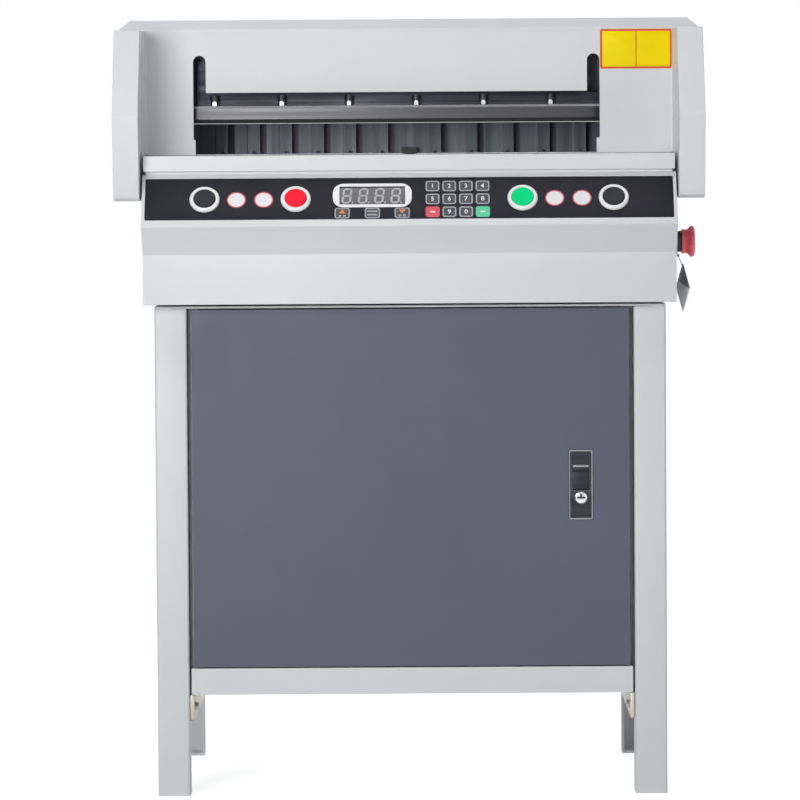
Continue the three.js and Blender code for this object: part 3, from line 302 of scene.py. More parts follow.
# %% Lines of grinding, rolling or turning: noise drawn out along one axis
lines, lines_in, lines_out = start_group(
    "drawn_lines", {"Across X": 20.0, "Across Y": 2000.0, "Across Z": 2000.0}, ["Height", "Streak"])
stretch = add_node(lines, "ShaderNodeCombineXYZ", *(lines_in[f"Across {axis}"] for axis in "XYZ"))
stretched = add_node(lines, "ShaderNodeVectorMath", object_place(lines), stretch.outputs[0],
                     settings={"operation": "MULTIPLY"}).outputs[0]
streak = noise_node(lines, stretched, 0.13, 2.0, 0.5)
feed(lines, lines_out, Height=noise_node(lines, stretched, 1.0, 3.0, 0.7),
     Streak=ramp_node(lines, streak, 0.3, 0.7))
print("built", lines.name)

# %% Edge rub: where a rounded edge turns, the coat or the oxide is thinner
rub, rub_in, rub_out = start_group("edge_rub", {"Radius": 0.0012, "Breaks per metre": 90.0}, ["Mask"])
bevel = add_node(rub, "ShaderNodeBevel", rub_in["Radius"], settings={"samples": 4})
facing = rub.nodes.new("ShaderNodeNewGeometry").outputs["Normal"]
alike = add_node(rub, "ShaderNodeVectorMath", bevel.outputs[0], facing,
                 settings={"operation": "DOT_PRODUCT"})
turn = ramp_node(rub, alike.outputs["Value"], 0.985, 0.90)
breaks = noise_node(rub, object_place(rub), rub_in["Breaks per metre"], 4.0, 0.7)
feed(rub, rub_out, Mask=math_node(rub, "MULTIPLY", turn, ramp_node(rub, breaks, 0.38, 0.62)))
print("built", rub.name)

# %% Dust: a thin veil on what faces up, thicker in patches
dust, dust_in, dust_out = start_group("dust_veil", {"Patches per metre": 9.0}, ["Mask"])
facing = dust.nodes.new("ShaderNodeNewGeometry").outputs["Normal"]
upward = add_node(dust, "ShaderNodeSeparateXYZ", facing).outputs["Z"]
patches = noise_node(dust, object_place(dust), dust_in["Patches per metre"], 5.0, 0.65)
feed(dust, dust_out, Mask=math_node(dust, "MULTIPLY", ramp_node(dust, upward, 0.6, 1.0),
                                    ramp_node(dust, patches, 0.35, 0.75)))
print("built", dust.name)

# %% Handling: soft smudges that change the gloss
smudge, smudge_in, smudge_out = start_group("handling", {"Smudges per metre": 14.0}, ["Smudge"])
soft = noise_node(smudge, object_place(smudge), smudge_in["Smudges per metre"], 3.0, 0.55)
feed(smudge, smudge_out, Smudge=ramp_node(smudge, soft, 0.35, 0.7))
print("built", smudge.name)

# %% [markdown]
# ## Finishes
#
# A finish is a Principled shader whose colour, gloss and skin change over the surface, fed by the
# groups above. Values that are the same all over sit on the shader itself. Colours are written
# as on a colour card, and turned into the linear values that the shader wants.

# %% Helpers for finishes
def linear(card):
    """A colour card's hex number as a linear colour."""
    parts = [(card >> shift & 255) / 255 for shift in (16, 8, 0)]
    return tuple(p / 12.92 if p <= 0.04045 else ((p + 0.055) / 1.055) ** 2.4 for p in parts) + (1.0,)


class Finish:
    """A material under construction; its methods lay one effect over another."""

    def __init__(self, name, card, metallic=0.0, specular=0.5):
        self.material = bpy.data.materials.new(name)
        self.material.use_nodes = True
        self.tree = self.material.node_tree
        self.shader = feed(self.tree, self.tree.nodes["Principled BSDF"], Metallic=metallic,
                           Specular_IOR_Level=specular)
        self.color = linear(card)

    def group(self, tree, **sizes):
        return add_node(self.tree, "ShaderNodeGroup", settings={"node_tree": tree}, **sizes).outputs

    def tint(self, mask, card, share=1.0):
        """Lays another colour over the present one where the mask is high."""
        amount = mask if share == 1.0 else math_node(self.tree, "MULTIPLY", mask, share)
        mix = add_node(self.tree, "ShaderNodeMix", settings={"data_type": "RGBA"})
        sockets = {socket.identifier: socket for socket in mix.inputs}
        for label, source in (("A_Color", self.color), ("B_Color", linear(card)),
                              ("Factor_Float", amount)):
            connect(self.tree, source, sockets[label])
        self.color = next(out for out in mix.outputs if out.identifier == "Result_Color")

    def gloss(self, mask, low, high):
        """Roughness from low to high as the mask rises."""
        feed(self.tree, self.shader, Roughness=ramp_node(self.tree, mask, 0.0, 1.0, low, high))

    def skin(self, height, depth_mm):
        """A fine relief."""
        bump = add_node(self.tree, "ShaderNodeBump", Distance=depth_mm * MM, Height=height)
        feed(self.tree, self.shader, Normal=bump.outputs["Normal"])

    def done(self):
        feed(self.tree, self.shader, Base_Color=self.color)
        return self.material


print("colour card 0xdce0e3 is", tuple(round(part, 3) for part in linear(0xDCE0E3)[:3]))

# %% [markdown]
# ### Coats
#
# The body is sprayed with a light grey powder coat: satin, with an orange-peel skin. The stand and
# the table have it a shade darker, and the door in slate grey. All come from one recipe with
# their own colour cards: the base, a cloud of a neighbouring shade, dust, and thin rubbed edges.

# %% Powder coats
def powder_coat(name, card, cloud_card, rubbed_card, rough=(0.42, 0.52), rub_share=0.35):
    finish = Finish(name, card, specular=0.42)
    skin_of_coat = finish.group(peel, Grains_per_metre=1100.0, Cloud_per_metre=5.0)
    finish.tint(skin_of_coat["Cloud"], cloud_card)
    finish.tint(finish.group(dust)["Mask"], 0xD9D7D0, 0.25)
    rubbed = finish.group(rub, Radius=0.0011, Breaks_per_metre=70.0)["Mask"]
    finish.tint(rubbed, rubbed_card, rub_share)
    finish.gloss(finish.group(smudge)["Smudge"], *rough)
    finish.skin(skin_of_coat["Height"], 0.035)
    return finish.done()


body_coat = powder_coat("body_coat", 0xDADDE0, 0xD6D9DC, 0xEDF0F1)
stand_coat = powder_coat("stand_coat", 0xD5D8DA, 0xD0D3D6, 0xE2E5E6)
slate_coat = powder_coat("slate_coat", 0x535768, 0x4F5363, 0x7E8290, rub_share=0.5)
table_coat = powder_coat("table_coat", 0xD9DBDD, 0xD5D8DA, 0xECEEEF, rough=(0.33, 0.42))
print("coats:", body_coat.name, stand_coat.name, slate_coat.name, table_coat.name)

# %% [markdown]
# ### Metals
#
# Knife, screws and shafts are bare steel. The lines that the tool left tell one from the other: a
# ground knife has fine lines along its length, a turned shaft has them round it, and a casting
# has none but a sandy skin.

# %% Bare metals
def lined_metal(name, card, streak_card, across, rough, depth_mm=0.02, metallic=1.0, rub_card=None):
    """Metal with tool marks; across gives the lines' density along X, Y and Z."""
    finish = Finish(name, card, metallic=metallic)
    marks = finish.group(lines, Across_X=across[0], Across_Y=across[1], Across_Z=across[2])
    finish.tint(marks["Streak"], streak_card)
    if rub_card is not None:
        finish.tint(finish.group(rub, Radius=0.0008)["Mask"], rub_card, 0.8)
    finish.gloss(marks["Streak"], *rough)
    finish.skin(marks["Height"], depth_mm)
    return finish.done()


knife_steel = lined_metal("knife_steel", 0x505053, 0x4A4A4E, (12, 1500, 1500), (0.38, 0.5))
# Painted shade and painted highlight: a darker and a brighter copy of the knife's steel, for the
# knife's downward bevel and upward chamfer.
bevel_painted_shade = lined_metal("bevel_painted_shade", 0x4C4C53, 0x45454C, (12, 1500, 1500), (0.45, 0.55),
                          metallic=0.4)
chamfer_painted_highlight = lined_metal("chamfer_painted_highlight", 0xDCDDDF, 0xCFD0D3, (12, 1500, 1500), (0.4, 0.5),
                          metallic=0.35)
turned_steel = lined_metal("turned_steel", 0x9A9CA0, 0x8B8D91, (1500, 30, 1500), (0.25, 0.4))
dark_steel = lined_metal("dark_steel", 0x3B3B42, 0x2E2E35, (60, 900, 900), (0.38, 0.55),
                         rub_card=0x8D8E93)
zinc_plate = lined_metal("zinc_plate", 0xB7B5A9, 0xA5A398, (300, 300, 40), (0.3, 0.5), 0.01)
bright_screw = lined_metal("bright_screw", 0xB9BBBE, 0xA7A9AD, (700, 700, 700), (0.24, 0.38), 0.01)
black_screw = lined_metal("black_screw", 0x2A2A2F, 0x35353B, (700, 700, 700), (0.35, 0.5), 0.01,
                          metallic=0.7, rub_card=0x85868C)
chrome_plate = lined_metal("chrome_plate", 0xDADCDF, 0xCFD1D5, (60, 60, 60), (0.06, 0.14), 0.002)
gauge_alloy = lined_metal("gauge_alloy", 0x6A6F78, 0x5F646D, (900, 900, 25), (0.42, 0.55),
                          metallic=0.75, rub_card=0xB4B8BE)
# Painted shade and painted highlight for the back gauge: a darker copy of its alloy for faces in the
# slots, and a bright one for the ridges' left faces.
slot_shade = lined_metal("slot_shade", 0x5D5F72, 0x535566, (900, 900, 25), (0.5, 0.6),
                         metallic=0.2)
ridge_painted_highlight = lined_metal("ridge_painted_highlight", 0xB2B6BF, 0x9CA0A9, (900, 900, 25), (0.4, 0.5),
                         metallic=0.1)

cast = Finish("casting", 0x6A6E73, metallic=0.25)
sand = cast.group(peel, Grains_per_metre=420.0, Cloud_per_metre=22.0)
cast.tint(sand["Cloud"], 0x5C6066)
cast.tint(cast.group(rub, Radius=0.0015)["Mask"], 0x93969A, 0.5)
cast.tint(cast.group(dust)["Mask"], 0xA9A59B, 0.3)
cast.gloss(sand["Cloud"], 0.52, 0.7)
cast.skin(sand["Height"], 0.35)
casting = cast.done()
print("metals ready")

# %% [markdown]
# ### Plastics and print
#
# Moulded plastic is finer than paint: almost no relief, a soft sheen and a slow change of shade
# where it was touched. Print is ink, which looks like a thin plastic.

# %% Plastics
COAT_ROUGHNESS = 0.12


def moulded(name, card, other_card, rough=(0.28, 0.4), depth_mm=0.01, coat=0.0, specular=0.5):
    finish = Finish(name, card, specular=specular)
    skin_of_plastic = finish.group(peel, Grains_per_metre=2200.0, Cloud_per_metre=40.0)
    finish.tint(skin_of_plastic["Cloud"], other_card)
    finish.gloss(finish.group(smudge, Smudges_per_metre=60.0)["Smudge"], *rough)
    finish.skin(skin_of_plastic["Height"], depth_mm)
    if coat:
        feed(finish.tree, finish.shader, Coat_Weight=coat, Coat_Roughness=COAT_ROUGHNESS)
    return finish.done()


white_ring = moulded("white_ring", 0xF0F0F2, 0xE6E6E9, (0.25, 0.35), coat=0.2)
black_cap = moulded("black_cap", 0x2B2C32, 0x313238, (0.45, 0.58), specular=0.15)
red_cap = moulded("red_cap", 0xFF1838, 0xF81634, (0.4, 0.5), specular=0.15)
green_cap = moulded("green_cap", 0x00E68E, 0x00DA84, (0.4, 0.5), specular=0.08)
stop_red = moulded("stop_red", 0xFF6A78, 0xF8606C, (0.36, 0.48))
black_plastic = moulded("black_plastic", 0x26272C, 0x2F3036, (0.4, 0.55))
cream_plastic = moulded("cream_plastic", 0xE9E6DC, 0xDFDBD0, (0.4, 0.5))
curtain_red = moulded("curtain_red", 0x3E0C12, 0x2C080D, (0.08, 0.16), coat=0.6)
panel_film = moulded("panel_film", 0x26262E, 0x22222A, (0.46, 0.56), 0.02, specular=0.13)
print_white = moulded("print_white", 0xE9E9EC, 0xDFDFE3)
print_grey = moulded("print_grey", 0xA4A5AE, 0x999AA3)
print_pale = moulded("print_pale", 0xB4B4B9, 0xA9A9AF)
print_orange = moulded("print_orange", 0xE8793A, 0xDC6E33)
print_red = moulded("print_red", 0xD74655, 0xCB3D4C)
print_green = moulded("print_green", 0x4FCF9B, 0x47C08F)
print_dark = moulded("print_dark", 0x26272D, 0x2C2D34)
window_dark = moulded("window_dark", 0x3A3A40, 0x33333A, (0.1, 0.18), 0.002, coat=0.5)
plate_yellow = moulded("plate_yellow", 0xFFE600, 0xFFDF00, (0.5, 0.6), specular=0.15)
plate_border = moulded("plate_border", 0xE0542A, 0xD54C24)
# The tag's card: painted shade for its upper part and painted light for its lower part.
tag_painted_shade = moulded("tag_painted_shade", 0x7A7B84, 0x70717A)
tag_painted_light = moulded("tag_painted_light", 0xEDEFF2, 0xE4E6EA)
solder_mask = moulded("solder_mask", 0x1E6B3A, 0x195E33)
copper_pin = lined_metal("copper_pin", 0xC9A24A, 0xB28D3C, (500, 500, 500), (0.25, 0.4), 0.01)
print("plastics ready")

# %% [markdown]
# Every piece names a material slot of the CAD model, and most slots have just one finish. So one
# table says which, and a piece only names its finishes where they differ from it.

# %% The finish of each slot
SLOT_LOOKS = {
    "body_paint": body_coat, "table_paint": table_coat, "stand_paint": stand_coat,
    "door_paint": slate_coat, "panel_film": panel_film, "bezel_plastic": white_ring,
    "black_plastic": black_plastic, "red_plastic": red_cap, "green_plastic": green_cap,
    "display": window_dark, "circuit_board": solder_mask, "estop_red": stop_red,
    "tag_card": tag_painted_shade, "stick_plastic": cream_plastic, "curtain_window": curtain_red,
    "lock_metal": dark_steel, "chrome": chrome_plate, "zinc_steel": zinc_plate,
    "bright_steel": turned_steel, "knife_steel": knife_steel, "dark_steel": dark_steel,
    "gauge_aluminium": gauge_alloy, "frame_iron": casting,
}
print("slots:", len(SLOT_LOOKS))

# %% [markdown]
# ## Shapes
#
# Most pieces are folded sheet, plate or turned stock, so three helpers draw nearly all of them: a
# rounded outline pushed along an axis, a profile turned round an axis, and a soft copy of a CAD solid
# whose edges get a bend radius. Shapes are in the drawing's millimetres; make_piece takes one to
# metres, gives it the finish of its slot unless it names its own, ties it to its body and hides the
# solids that it stands for.

# %% Outlines
def arc_points(centre, radius, start, end, steps):
    return [(centre[0] + radius * math.cos(start + (end - start) * index / steps),
             centre[1] + radius * math.sin(start + (end - start) * index / steps))
            for index in range(steps + 1)]


def each(value, count):
    """One value for every corner or side, from a list or a single one."""
    return value if isinstance(value, (list, tuple)) else [value] * count


def rounded(outline, radius, steps=4):
    """An outline with its corners rounded, all alike or each by its own radius."""
    points = []
    for index, (corner, size) in enumerate(zip(outline, each(radius, len(outline)))):
        if size <= 0:
            points.append(tuple(corner))
            continue
        here = Vector(corner)
        back = Vector(outline[index - 1]) - here
        ahead = Vector(outline[(index + 1) % len(outline)]) - here
        half = back.angle(ahead) / 2
        reach = min(size / math.tan(half), 0.49 * min(back.length, ahead.length))
        centre = here + (back.normalized() + ahead.normalized()).normalized() * (
            reach / math.cos(half))
        first = here + back.normalized() * reach - centre
        last = here + ahead.normalized() * reach - centre
        start = math.atan2(first.y, first.x)
        sweep = (math.atan2(last.y, last.x) - start + math.pi) % (2 * math.pi) - math.pi
        points += arc_points(centre, first.length, start, start + sweep, steps)
    return points


def shrunk(outline, amount):
    """A counter-clockwise outline moved inwards; amount may hold one value for each side."""
    count = len(outline)
    amounts = each(amount, count)
    moved = []
    for index in range(count):
        here = Vector(outline[index])
        before = (here - Vector(outline[index - 1])).normalized()
        after = (Vector(outline[(index + 1) % count]) - here).normalized()
        first, second = Vector((-before.y, before.x)), Vector((-after.y, after.x))
        slant = first.cross(second)
        if abs(slant) < 1e-3:
            step = first * amounts[index]
        else:
            step = Vector((amounts[index - 1] * second.y - amounts[index] * first.y,
                           amounts[index] * first.x - amounts[index - 1] * second.x)) / slant
        moved.append(tuple(here + step))
    return moved


def rectangle(across, rise):
    """An outline from two (low, high) pairs."""
    return [(across[0], rise[0]), (across[1], rise[0]), (across[1], rise[1]), (across[0], rise[1])]


def centred(x, rise, width, height):
    return rectangle(around(x, width / 2), around(rise, height / 2))


def circle(centre, radius, sides=40):
    return [(centre[0] + radius * math.cos(2 * math.pi * side / sides),
             centre[1] + radius * math.sin(2 * math.pi * side / sides)) for side in range(sides)]


def counter_clockwise(outline):
    area = sum(a[0] * b[1] - b[0] * a[1] for a, b in zip(outline, outline[1:] + outline[:1]))
    return list(outline) if area > 0 else list(reversed(outline))


print("a rounded square has", len(rounded(rectangle((0, 1), (0, 1)), 0.2)), "points")

# %% Solids from outlines and profiles
AXES = {"x": lambda u, v, along: (along, u, v),
        "y": lambda u, v, along: (u, along, v),
        "z": lambda u, v, along: (u, v, along)}


def add_ring(shape, outline, axis, along):
    return [shape.verts.new(AXES[axis](u, v, along)) for u, v in outline]


def wrap(shape, rings, slot=0, closed=False):
    """Skins a run of rings; a closed run joins its last ring to the first, others get caps."""
    faces = [] if closed else [shape.faces.new(ring) for ring in (rings[0], rings[-1])
                               if len(ring) > 1]
    for low, high in zip(rings, rings[1:] + rings[:1] * closed):
        count = max(len(low), len(high))
        for index in range(count):
            after = (index + 1) % count
            corners = [low[index % len(low)], low[after % len(low)],
                       high[after % len(high)], high[index % len(high)]]
            faces.append(shape.faces.new(list(dict.fromkeys(corners))))
    for face in faces:
        face.material_index = slot
    return shape


def prism(outline, axis, start, end, edge=0.0, into=None, slot=0):
    """Pushes an outline along an axis; edge rounds the rim at both ends."""
    shape = into or bmesh.new()
    outline = counter_clockwise(outline)
    levels = [(start, 0.0), (end, 0.0)]
    if edge:
        turns = (0, math.pi / 4, math.pi / 2)
        near = [(edge * (1 - math.cos(turn)), edge * (1 - math.sin(turn))) for turn in turns]
        levels = [(start + along, inset) for along, inset in near]
        levels += [(end - along, inset) for along, inset in reversed(near)]
    rings = [add_ring(shape, shrunk(outline, inset) if inset else outline, axis, along)
             for along, inset in levels]
    return wrap(shape, rings, slot)


def block(x, depth, height, edge=0.0, into=None, corner=0.0, axis="y", slot=0):
    """A box from three (low, high) pairs, with rounded corners about one axis."""
    pairs = {"x": (depth, height, x), "y": (x, height, depth), "z": (x, depth, height)}[axis]
    outline = rectangle(*pairs[:2])
    if corner:
        outline = rounded(outline, corner)
    return prism(outline, axis, *pairs[2], edge=edge, into=into, slot=slot)


def turned(profile, axis, centre, sides=48, into=None, slot=0):
    """Turns a profile of (radius, place) round an axis; one that ends where it starts is a ring."""
    shape = into or bmesh.new()
    is_ring = profile[0] == profile[-1]
    rings = [add_ring(shape, circle(centre, radius, sides) if radius > 0 else [centre], axis, along)
             for radius, along in (profile[:-1] if is_ring else profile)]
    return wrap(shape, rings, slot, closed=is_ring)


def drill(radius, ends, axis, centre, sides=48):
    """A round rod that cuts a hole."""
    return turned([(radius, end) for end in ends], axis, centre, sides)


def tube(points, radius, sides=10, into=None):
    """A round wire along points of the drawing; a loop ends at its first point."""
    shape = into or bmesh.new()
    points = [Vector(point) for point in points]
    is_loop = (points[0] - points[-1]).length < 1e-3
    if is_loop:
        points.pop()
    rings = []
    guide = Vector((0.31, 0.22, 0.93))
    for index, point in enumerate(points):
        if is_loop:
            ahead = points[(index + 1) % len(points)] - points[index - 1]
        else:
            ahead = points[min(index + 1, len(points) - 1)] - points[max(index - 1, 0)]
        side = ahead.cross(guide).normalized()
        guide = side.cross(ahead).normalized()
        rings.append([shape.verts.new(point + side * across + guide * rise)
                      for across, rise in circle((0, 0), radius, sides)])
    return wrap(shape, rings, closed=is_loop)


def band(outer, inner, axis, start, end, into=None, slot=0):
    """A flat ring between two outlines that have the same number of points."""
    shape = into or bmesh.new()
    rings = [add_ring(shape, outline, axis, along) for along, outline in
             ((start, outer), (start, inner), (end, inner), (end, outer))]
    return wrap(shape, rings, slot, closed=True)


def threaded(axis, centre, start, end, radius, root, pitch, sides=24, per_turn=4):
    """A screw whose thread winds up: each ring's radius waves with its angle and its place."""
    shape = bmesh.new()
    count = max(2, round((end - start) / pitch * per_turn))
    rings = []
    for level in range(count + 1):
        along = start + (end - start) * level / count
        outline = []
        for side in range(sides):
            phase = ((along - start) / pitch - side / sides) % 1.0
            reach = root + (radius - root) * (1 - abs(2 * phase - 1)) if 0 < level < count else root
            outline.append((centre[0] + reach * math.cos(2 * math.pi * side / sides),
                            centre[1] + reach * math.sin(2 * math.pi * side / sides)))
        rings.append(add_ring(shape, outline, axis, along))
    return wrap(shape, rings)


print("axes:", ", ".join(AXES))

# %% From a shape to a finished piece
SMOOTH_BELOW = 32             # degrees between two faces that still look like one


def smooth(piece, crease=SMOOTH_BELOW):
    piece.data.shade_smooth()
    piece.data.set_sharp_from_angle(angle=math.radians(crease))


def tie(piece, body, slot, *nodes):
    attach(piece, body)
    if nodes:
        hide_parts(*nodes)
    print(f"{piece.name}: {len(piece.data.polygons)} faces on {body}",
          f"for {', '.join(nodes)}" if nodes else "")
    return piece


def clean(shape):
    bmesh.ops.remove_doubles(shape, verts=shape.verts, dist=1e-4)
    bmesh.ops.recalc_face_normals(shape, faces=shape.faces)


def object_from(name, shape, looks=()):
    """A shape as an object; the shape itself is used up."""
    mesh = bpy.data.meshes.new(name)
    shape.to_mesh(mesh)
    shape.free()
    for look in looks if isinstance(looks, (list, tuple)) else [looks]:
        mesh.materials.append(look)
    return new_object(name, mesh)


def add_bend(piece, radius, steps, angle=30):
    bend = piece.modifiers.new("bend", "BEVEL")
    bend.width = radius * MM
    bend.segments = steps
    bend.limit_method = "ANGLE"
    bend.angle_limit = math.radians(angle)
    bend.harden_normals = True
    bend.use_clamp_overlap = True


def make_piece(name, shape, slot, *nodes, looks=None, body="base", crease=SMOOTH_BELOW,
               turn=None):
    """A finished piece from a shape; turn is a matrix that places it on the drawing."""
    clean(shape)
    shape.transform(TO_METRES @ turn if turn else TO_METRES)
    piece = object_from(name, shape, looks or SLOT_LOOKS[slot])
    smooth(piece, crease)
    return tie(piece, body, slot, *nodes)


def soft_copy(name, node, slot, radius, looks=None, body="base", steps=2, change=None,
              crease=60):
    """A CAD solid with its edges rounded, in the place of that solid."""
    shape = bmesh.new()
    shape.from_mesh(frame["nodes"][node].data)
    bmesh.ops.remove_doubles(shape, verts=shape.verts, dist=1e-6)
    shape.transform(TO_METRES.inverted())
    bmesh.ops.dissolve_limit(shape, angle_limit=math.radians(0.5), verts=shape.verts,
                             edges=shape.edges)
    if change is not None:
        change(shape)
    shape.transform(TO_METRES)
    piece = object_from(name, shape, looks or SLOT_LOOKS[slot])
    smooth(piece, crease)
    add_bend(piece, radius, steps)
    return tie(piece, body, slot, node)


print("ready to make pieces")

# %% Cutting and joining shapes
def shape_from(mesh):
    """A mesh as a shape; the mesh itself is used up."""
    shape = bmesh.new()
    shape.from_mesh(mesh)
    bpy.data.meshes.remove(mesh)
    return shape


def settled_mesh(*things):
    """The first thing's mesh, modifiers applied; all the things are removed."""
    bpy.context.view_layer.update()
    settled = things[0].evaluated_get(bpy.context.evaluated_depsgraph_get())
    mesh = bpy.data.meshes.new_from_object(settled)
    for thing in things:
        bpy.data.objects.remove(thing)
    return mesh


def carve(shape, *tools):
    """The shape with the tools' shapes cut away, as a new shape."""
    for one in (shape, *tools):
        clean(one)
    body = object_from("carved", shape)
    cutters = [object_from("cutter", tool) for tool in tools]
    for cutter in cutters:
        cut = body.modifiers.new("cut", "BOOLEAN")
        cut.operation = "DIFFERENCE"
        cut.solver = "EXACT"
        cut.object = cutter
    return shape_from(settled_mesh(body, *cutters))


def place_shape(shape, matrix):
    shape.transform(matrix)
    return shape


def merge(*shapes):
    """Several shapes as one, kept apart as shells."""
    whole = bmesh.new()
    for shape in shapes:
        mesh = bpy.data.meshes.new("part")
        shape.to_mesh(mesh)
        shape.free()
        whole.from_mesh(mesh)
        bpy.data.meshes.remove(mesh)
    return whole


print("cutting tools ready")

# %% [markdown]
# Screws, fins and key outlines repeat a small shape, so Geometry Nodes set them out, by trees with
# named inputs. The result is made a plain mesh before the piece is tied to its body, because only
# plain meshes are kept.

# %% Helpers for Geometry Nodes
class Tree:
    """A small Geometry Nodes tree with named inputs that ends in Realize and Set Material."""

    def __init__(self, name, **sizes):
        self.tree = bpy.data.node_groups.new(name, "GeometryNodeTree")
        for direction in ("INPUT", "OUTPUT"):
            self.tree.interface.new_socket("Geometry", in_out=direction,
                                           socket_type="NodeSocketGeometry")
        kinds = {float: "NodeSocketFloat", int: "NodeSocketInt"}
        self.values = {}
        for label, value in sizes.items():
            socket = self.tree.interface.new_socket(label, in_out="INPUT",
                                                    socket_type=kinds[type(value)])
            socket.default_value = value
            self.values[socket.identifier] = value
        self.inputs = self.tree.nodes.new("NodeGroupInput").outputs

    def node(self, kind, *ordered, settings=None, **named):
        return add_node(self.tree, kind, *ordered, settings=settings, **named)

    def math(self, operation, first, second):
        return math_node(self.tree, operation, first, second)

    def times(self, first, second):
        return self.math("MULTIPLY", first, second)

    def cylinder(self, sides, radius, depth):
        return self.node("GeometryNodeMeshCylinder", Vertices=sides, Radius=radius,
                         Depth=depth).outputs["Mesh"]

    def lifted(self, geometry, height):
        up = self.node("ShaderNodeCombineXYZ", Z=height)
        return self.node("GeometryNodeTransform", Geometry=geometry,
                         Translation=up.outputs[0]).outputs[0]

    def joined(self, *geometries):
        whole = self.tree.nodes.new("GeometryNodeJoinGeometry")
        for geometry in reversed(geometries):
            self.tree.links.new(geometry, whole.inputs[0])
        return whole.outputs[0]

    def cut(self, operation, body, *tools):
        """A boolean of meshes; only a DIFFERENCE treats its first mesh apart from the others."""
        cut = self.node("GeometryNodeMeshBoolean", settings={"operation": operation})
        self.tree.links.new(body, cut.inputs["Mesh 1" if operation == "DIFFERENCE" else "Mesh 2"])
        for tool in tools:
            self.tree.links.new(tool, cut.inputs["Mesh 2"])
        return cut.outputs["Mesh"]

    def set_out(self, points, thing, rotation=(0, 0, 0)):
        return self.node("GeometryNodeInstanceOnPoints", Points=points, Instance=thing,
                         Rotation=rotation).outputs[0]

    def finish(self, geometry, look):
        real = self.node("GeometryNodeRealizeInstances", Geometry=geometry)
        dress = self.node("GeometryNodeSetMaterial", Geometry=real.outputs[0], Material=look)
        feed(self.tree, self.tree.nodes.new("NodeGroupOutput"), dress.outputs[0])

    def build(self, name, start=None):
        """The evaluated tree on a start mesh, as a new object with a plain mesh."""
        holder = new_object(name + "_holder", start or bpy.data.meshes.new(name))
        modifier = holder.modifiers.new("set_out", "NODES")
        modifier.node_group = self.tree
        for identifier, value in self.values.items():
            modifier[identifier] = value
        return new_object(name, settled_mesh(holder))


print("tree helper ready")

# %% [markdown]
# ## Screws
#
# A sheet-metal machine is full of screws, and they tell the eye its size. Geometry Nodes make each
# kind from primitives: a hexagon with its corners turned off on a washer, a cap with a hexagon
# socket, or a low dome with a cross recess. The tree sets one on every point of a mesh that only
# holds the screws' places, turned to the side that the screws face.

# %% Screw trees
HEAD_SIDES = 24


def head_ball(tree, radius):
    return tree.node("GeometryNodeMeshUVSphere", Segments=HEAD_SIDES, Rings=12,
                     Radius=radius).outputs["Mesh"]


def hex_head(tree, radius, height):
    """A hexagon on a washer; the corners are turned off by a ball."""
    nut = tree.cylinder(6, radius, height)
    rounded_nut = tree.cut("INTERSECT", nut, head_ball(tree, tree.times(radius, 1.12)))
    washer = tree.cylinder(HEAD_SIDES, tree.times(radius, 1.25), tree.times(height, 0.2))
    return tree.joined(tree.lifted(rounded_nut, tree.times(height, 0.6)), washer)


def socket_head(tree, radius, height):
    """A round cap with a hexagon socket."""
    cap = tree.cylinder(HEAD_SIDES, radius, height)
    key = tree.cylinder(6, tree.times(radius, 0.55), height)
    hollow_cap = tree.cut("DIFFERENCE", cap, tree.lifted(key, tree.times(height, 0.5)))
    return tree.lifted(hollow_cap, tree.times(height, 0.5))


def cross_head(tree, radius, height):
    """A low dome with a cross recess; one bar is cut deeper, as two floors in one plane tear."""
    flat = tree.node("ShaderNodeCombineXYZ", 1.0, 1.0, tree.math("DIVIDE", height, radius))
    dome = tree.node("GeometryNodeTransform", Geometry=head_ball(tree, radius),
                     Scale=flat.outputs[0])
    length, width = tree.times(radius, 1.05), tree.times(radius, 0.2)
    bars = []
    for sizes, depth in (((length, width), 1.0), ((width, length), 1.1)):
        box = tree.node("ShaderNodeCombineXYZ", *sizes, tree.times(height, depth))
        bar = tree.node("GeometryNodeMeshCube", Size=box.outputs[0])
        bars.append(tree.lifted(bar.outputs["Mesh"], height))
    return tree.cut("DIFFERENCE", dome.outputs[0], *bars)


HEADS = {"hex": hex_head, "socket": socket_head, "cross": cross_head}


def add_screws(name, kind, places, facing, radius, height, look, slot, body="base"):
    """One piece with a screw at each place, its head towards facing."""
    tree = Tree(f"{name}_tree", Radius=radius * MM, Height=height * MM)
    head = HEADS[kind](tree, tree.inputs["Radius"], tree.inputs["Height"])
    points = tree.node("GeometryNodeMeshToPoints", Mesh=tree.inputs["Geometry"])
    turn = Vector(facing).to_track_quat("Z", "Y").to_euler()
    tree.finish(tree.set_out(points.outputs[0], head, turn), look)
    bare_points = bpy.data.meshes.new("places")
    bare_points.from_pydata([spot(*place) for place in places], [], [])
    piece = tree.build(name, bare_points)
    smooth(piece)
    return tie(piece, body, slot)


print("screw kinds:", ", ".join(HEADS))

# %% [markdown]
# ## Stand
#
# Four legs of folded channel carry the machine: a strip bent twice round a radius, open to the
# cabinet's inside, with a foot plate welded in. A channel is the same all the way up, so its
# outline is pushed upwards, and mirrored for the rear legs.

# %% Legs
LEG_SHEET, LEG_BEND = 2.5, 3.4
FOOT_THICKNESS, FOOT_SETBACK = 3.0, 0.6
WELD_RADIUS, WELD_STEPS = 1.6, 6


def channel(half, sheet, bend, turn):
    """A U of bent sheet; turn 1 opens it to the rear and -1 to the front."""
    inner = half - sheet
    corners = [(-half, half), (-half, -half), (half, -half), (half, half),
               (inner, half), (inner, -inner), (-inner, -inner), (-inner, half)]
    tight = bend - sheet
    outline = rounded(corners, [0.5, bend, bend, 0.5, 0.5, tight, tight, 0.5], steps=5)
    return [(across, depth * turn) for across, depth in outline]


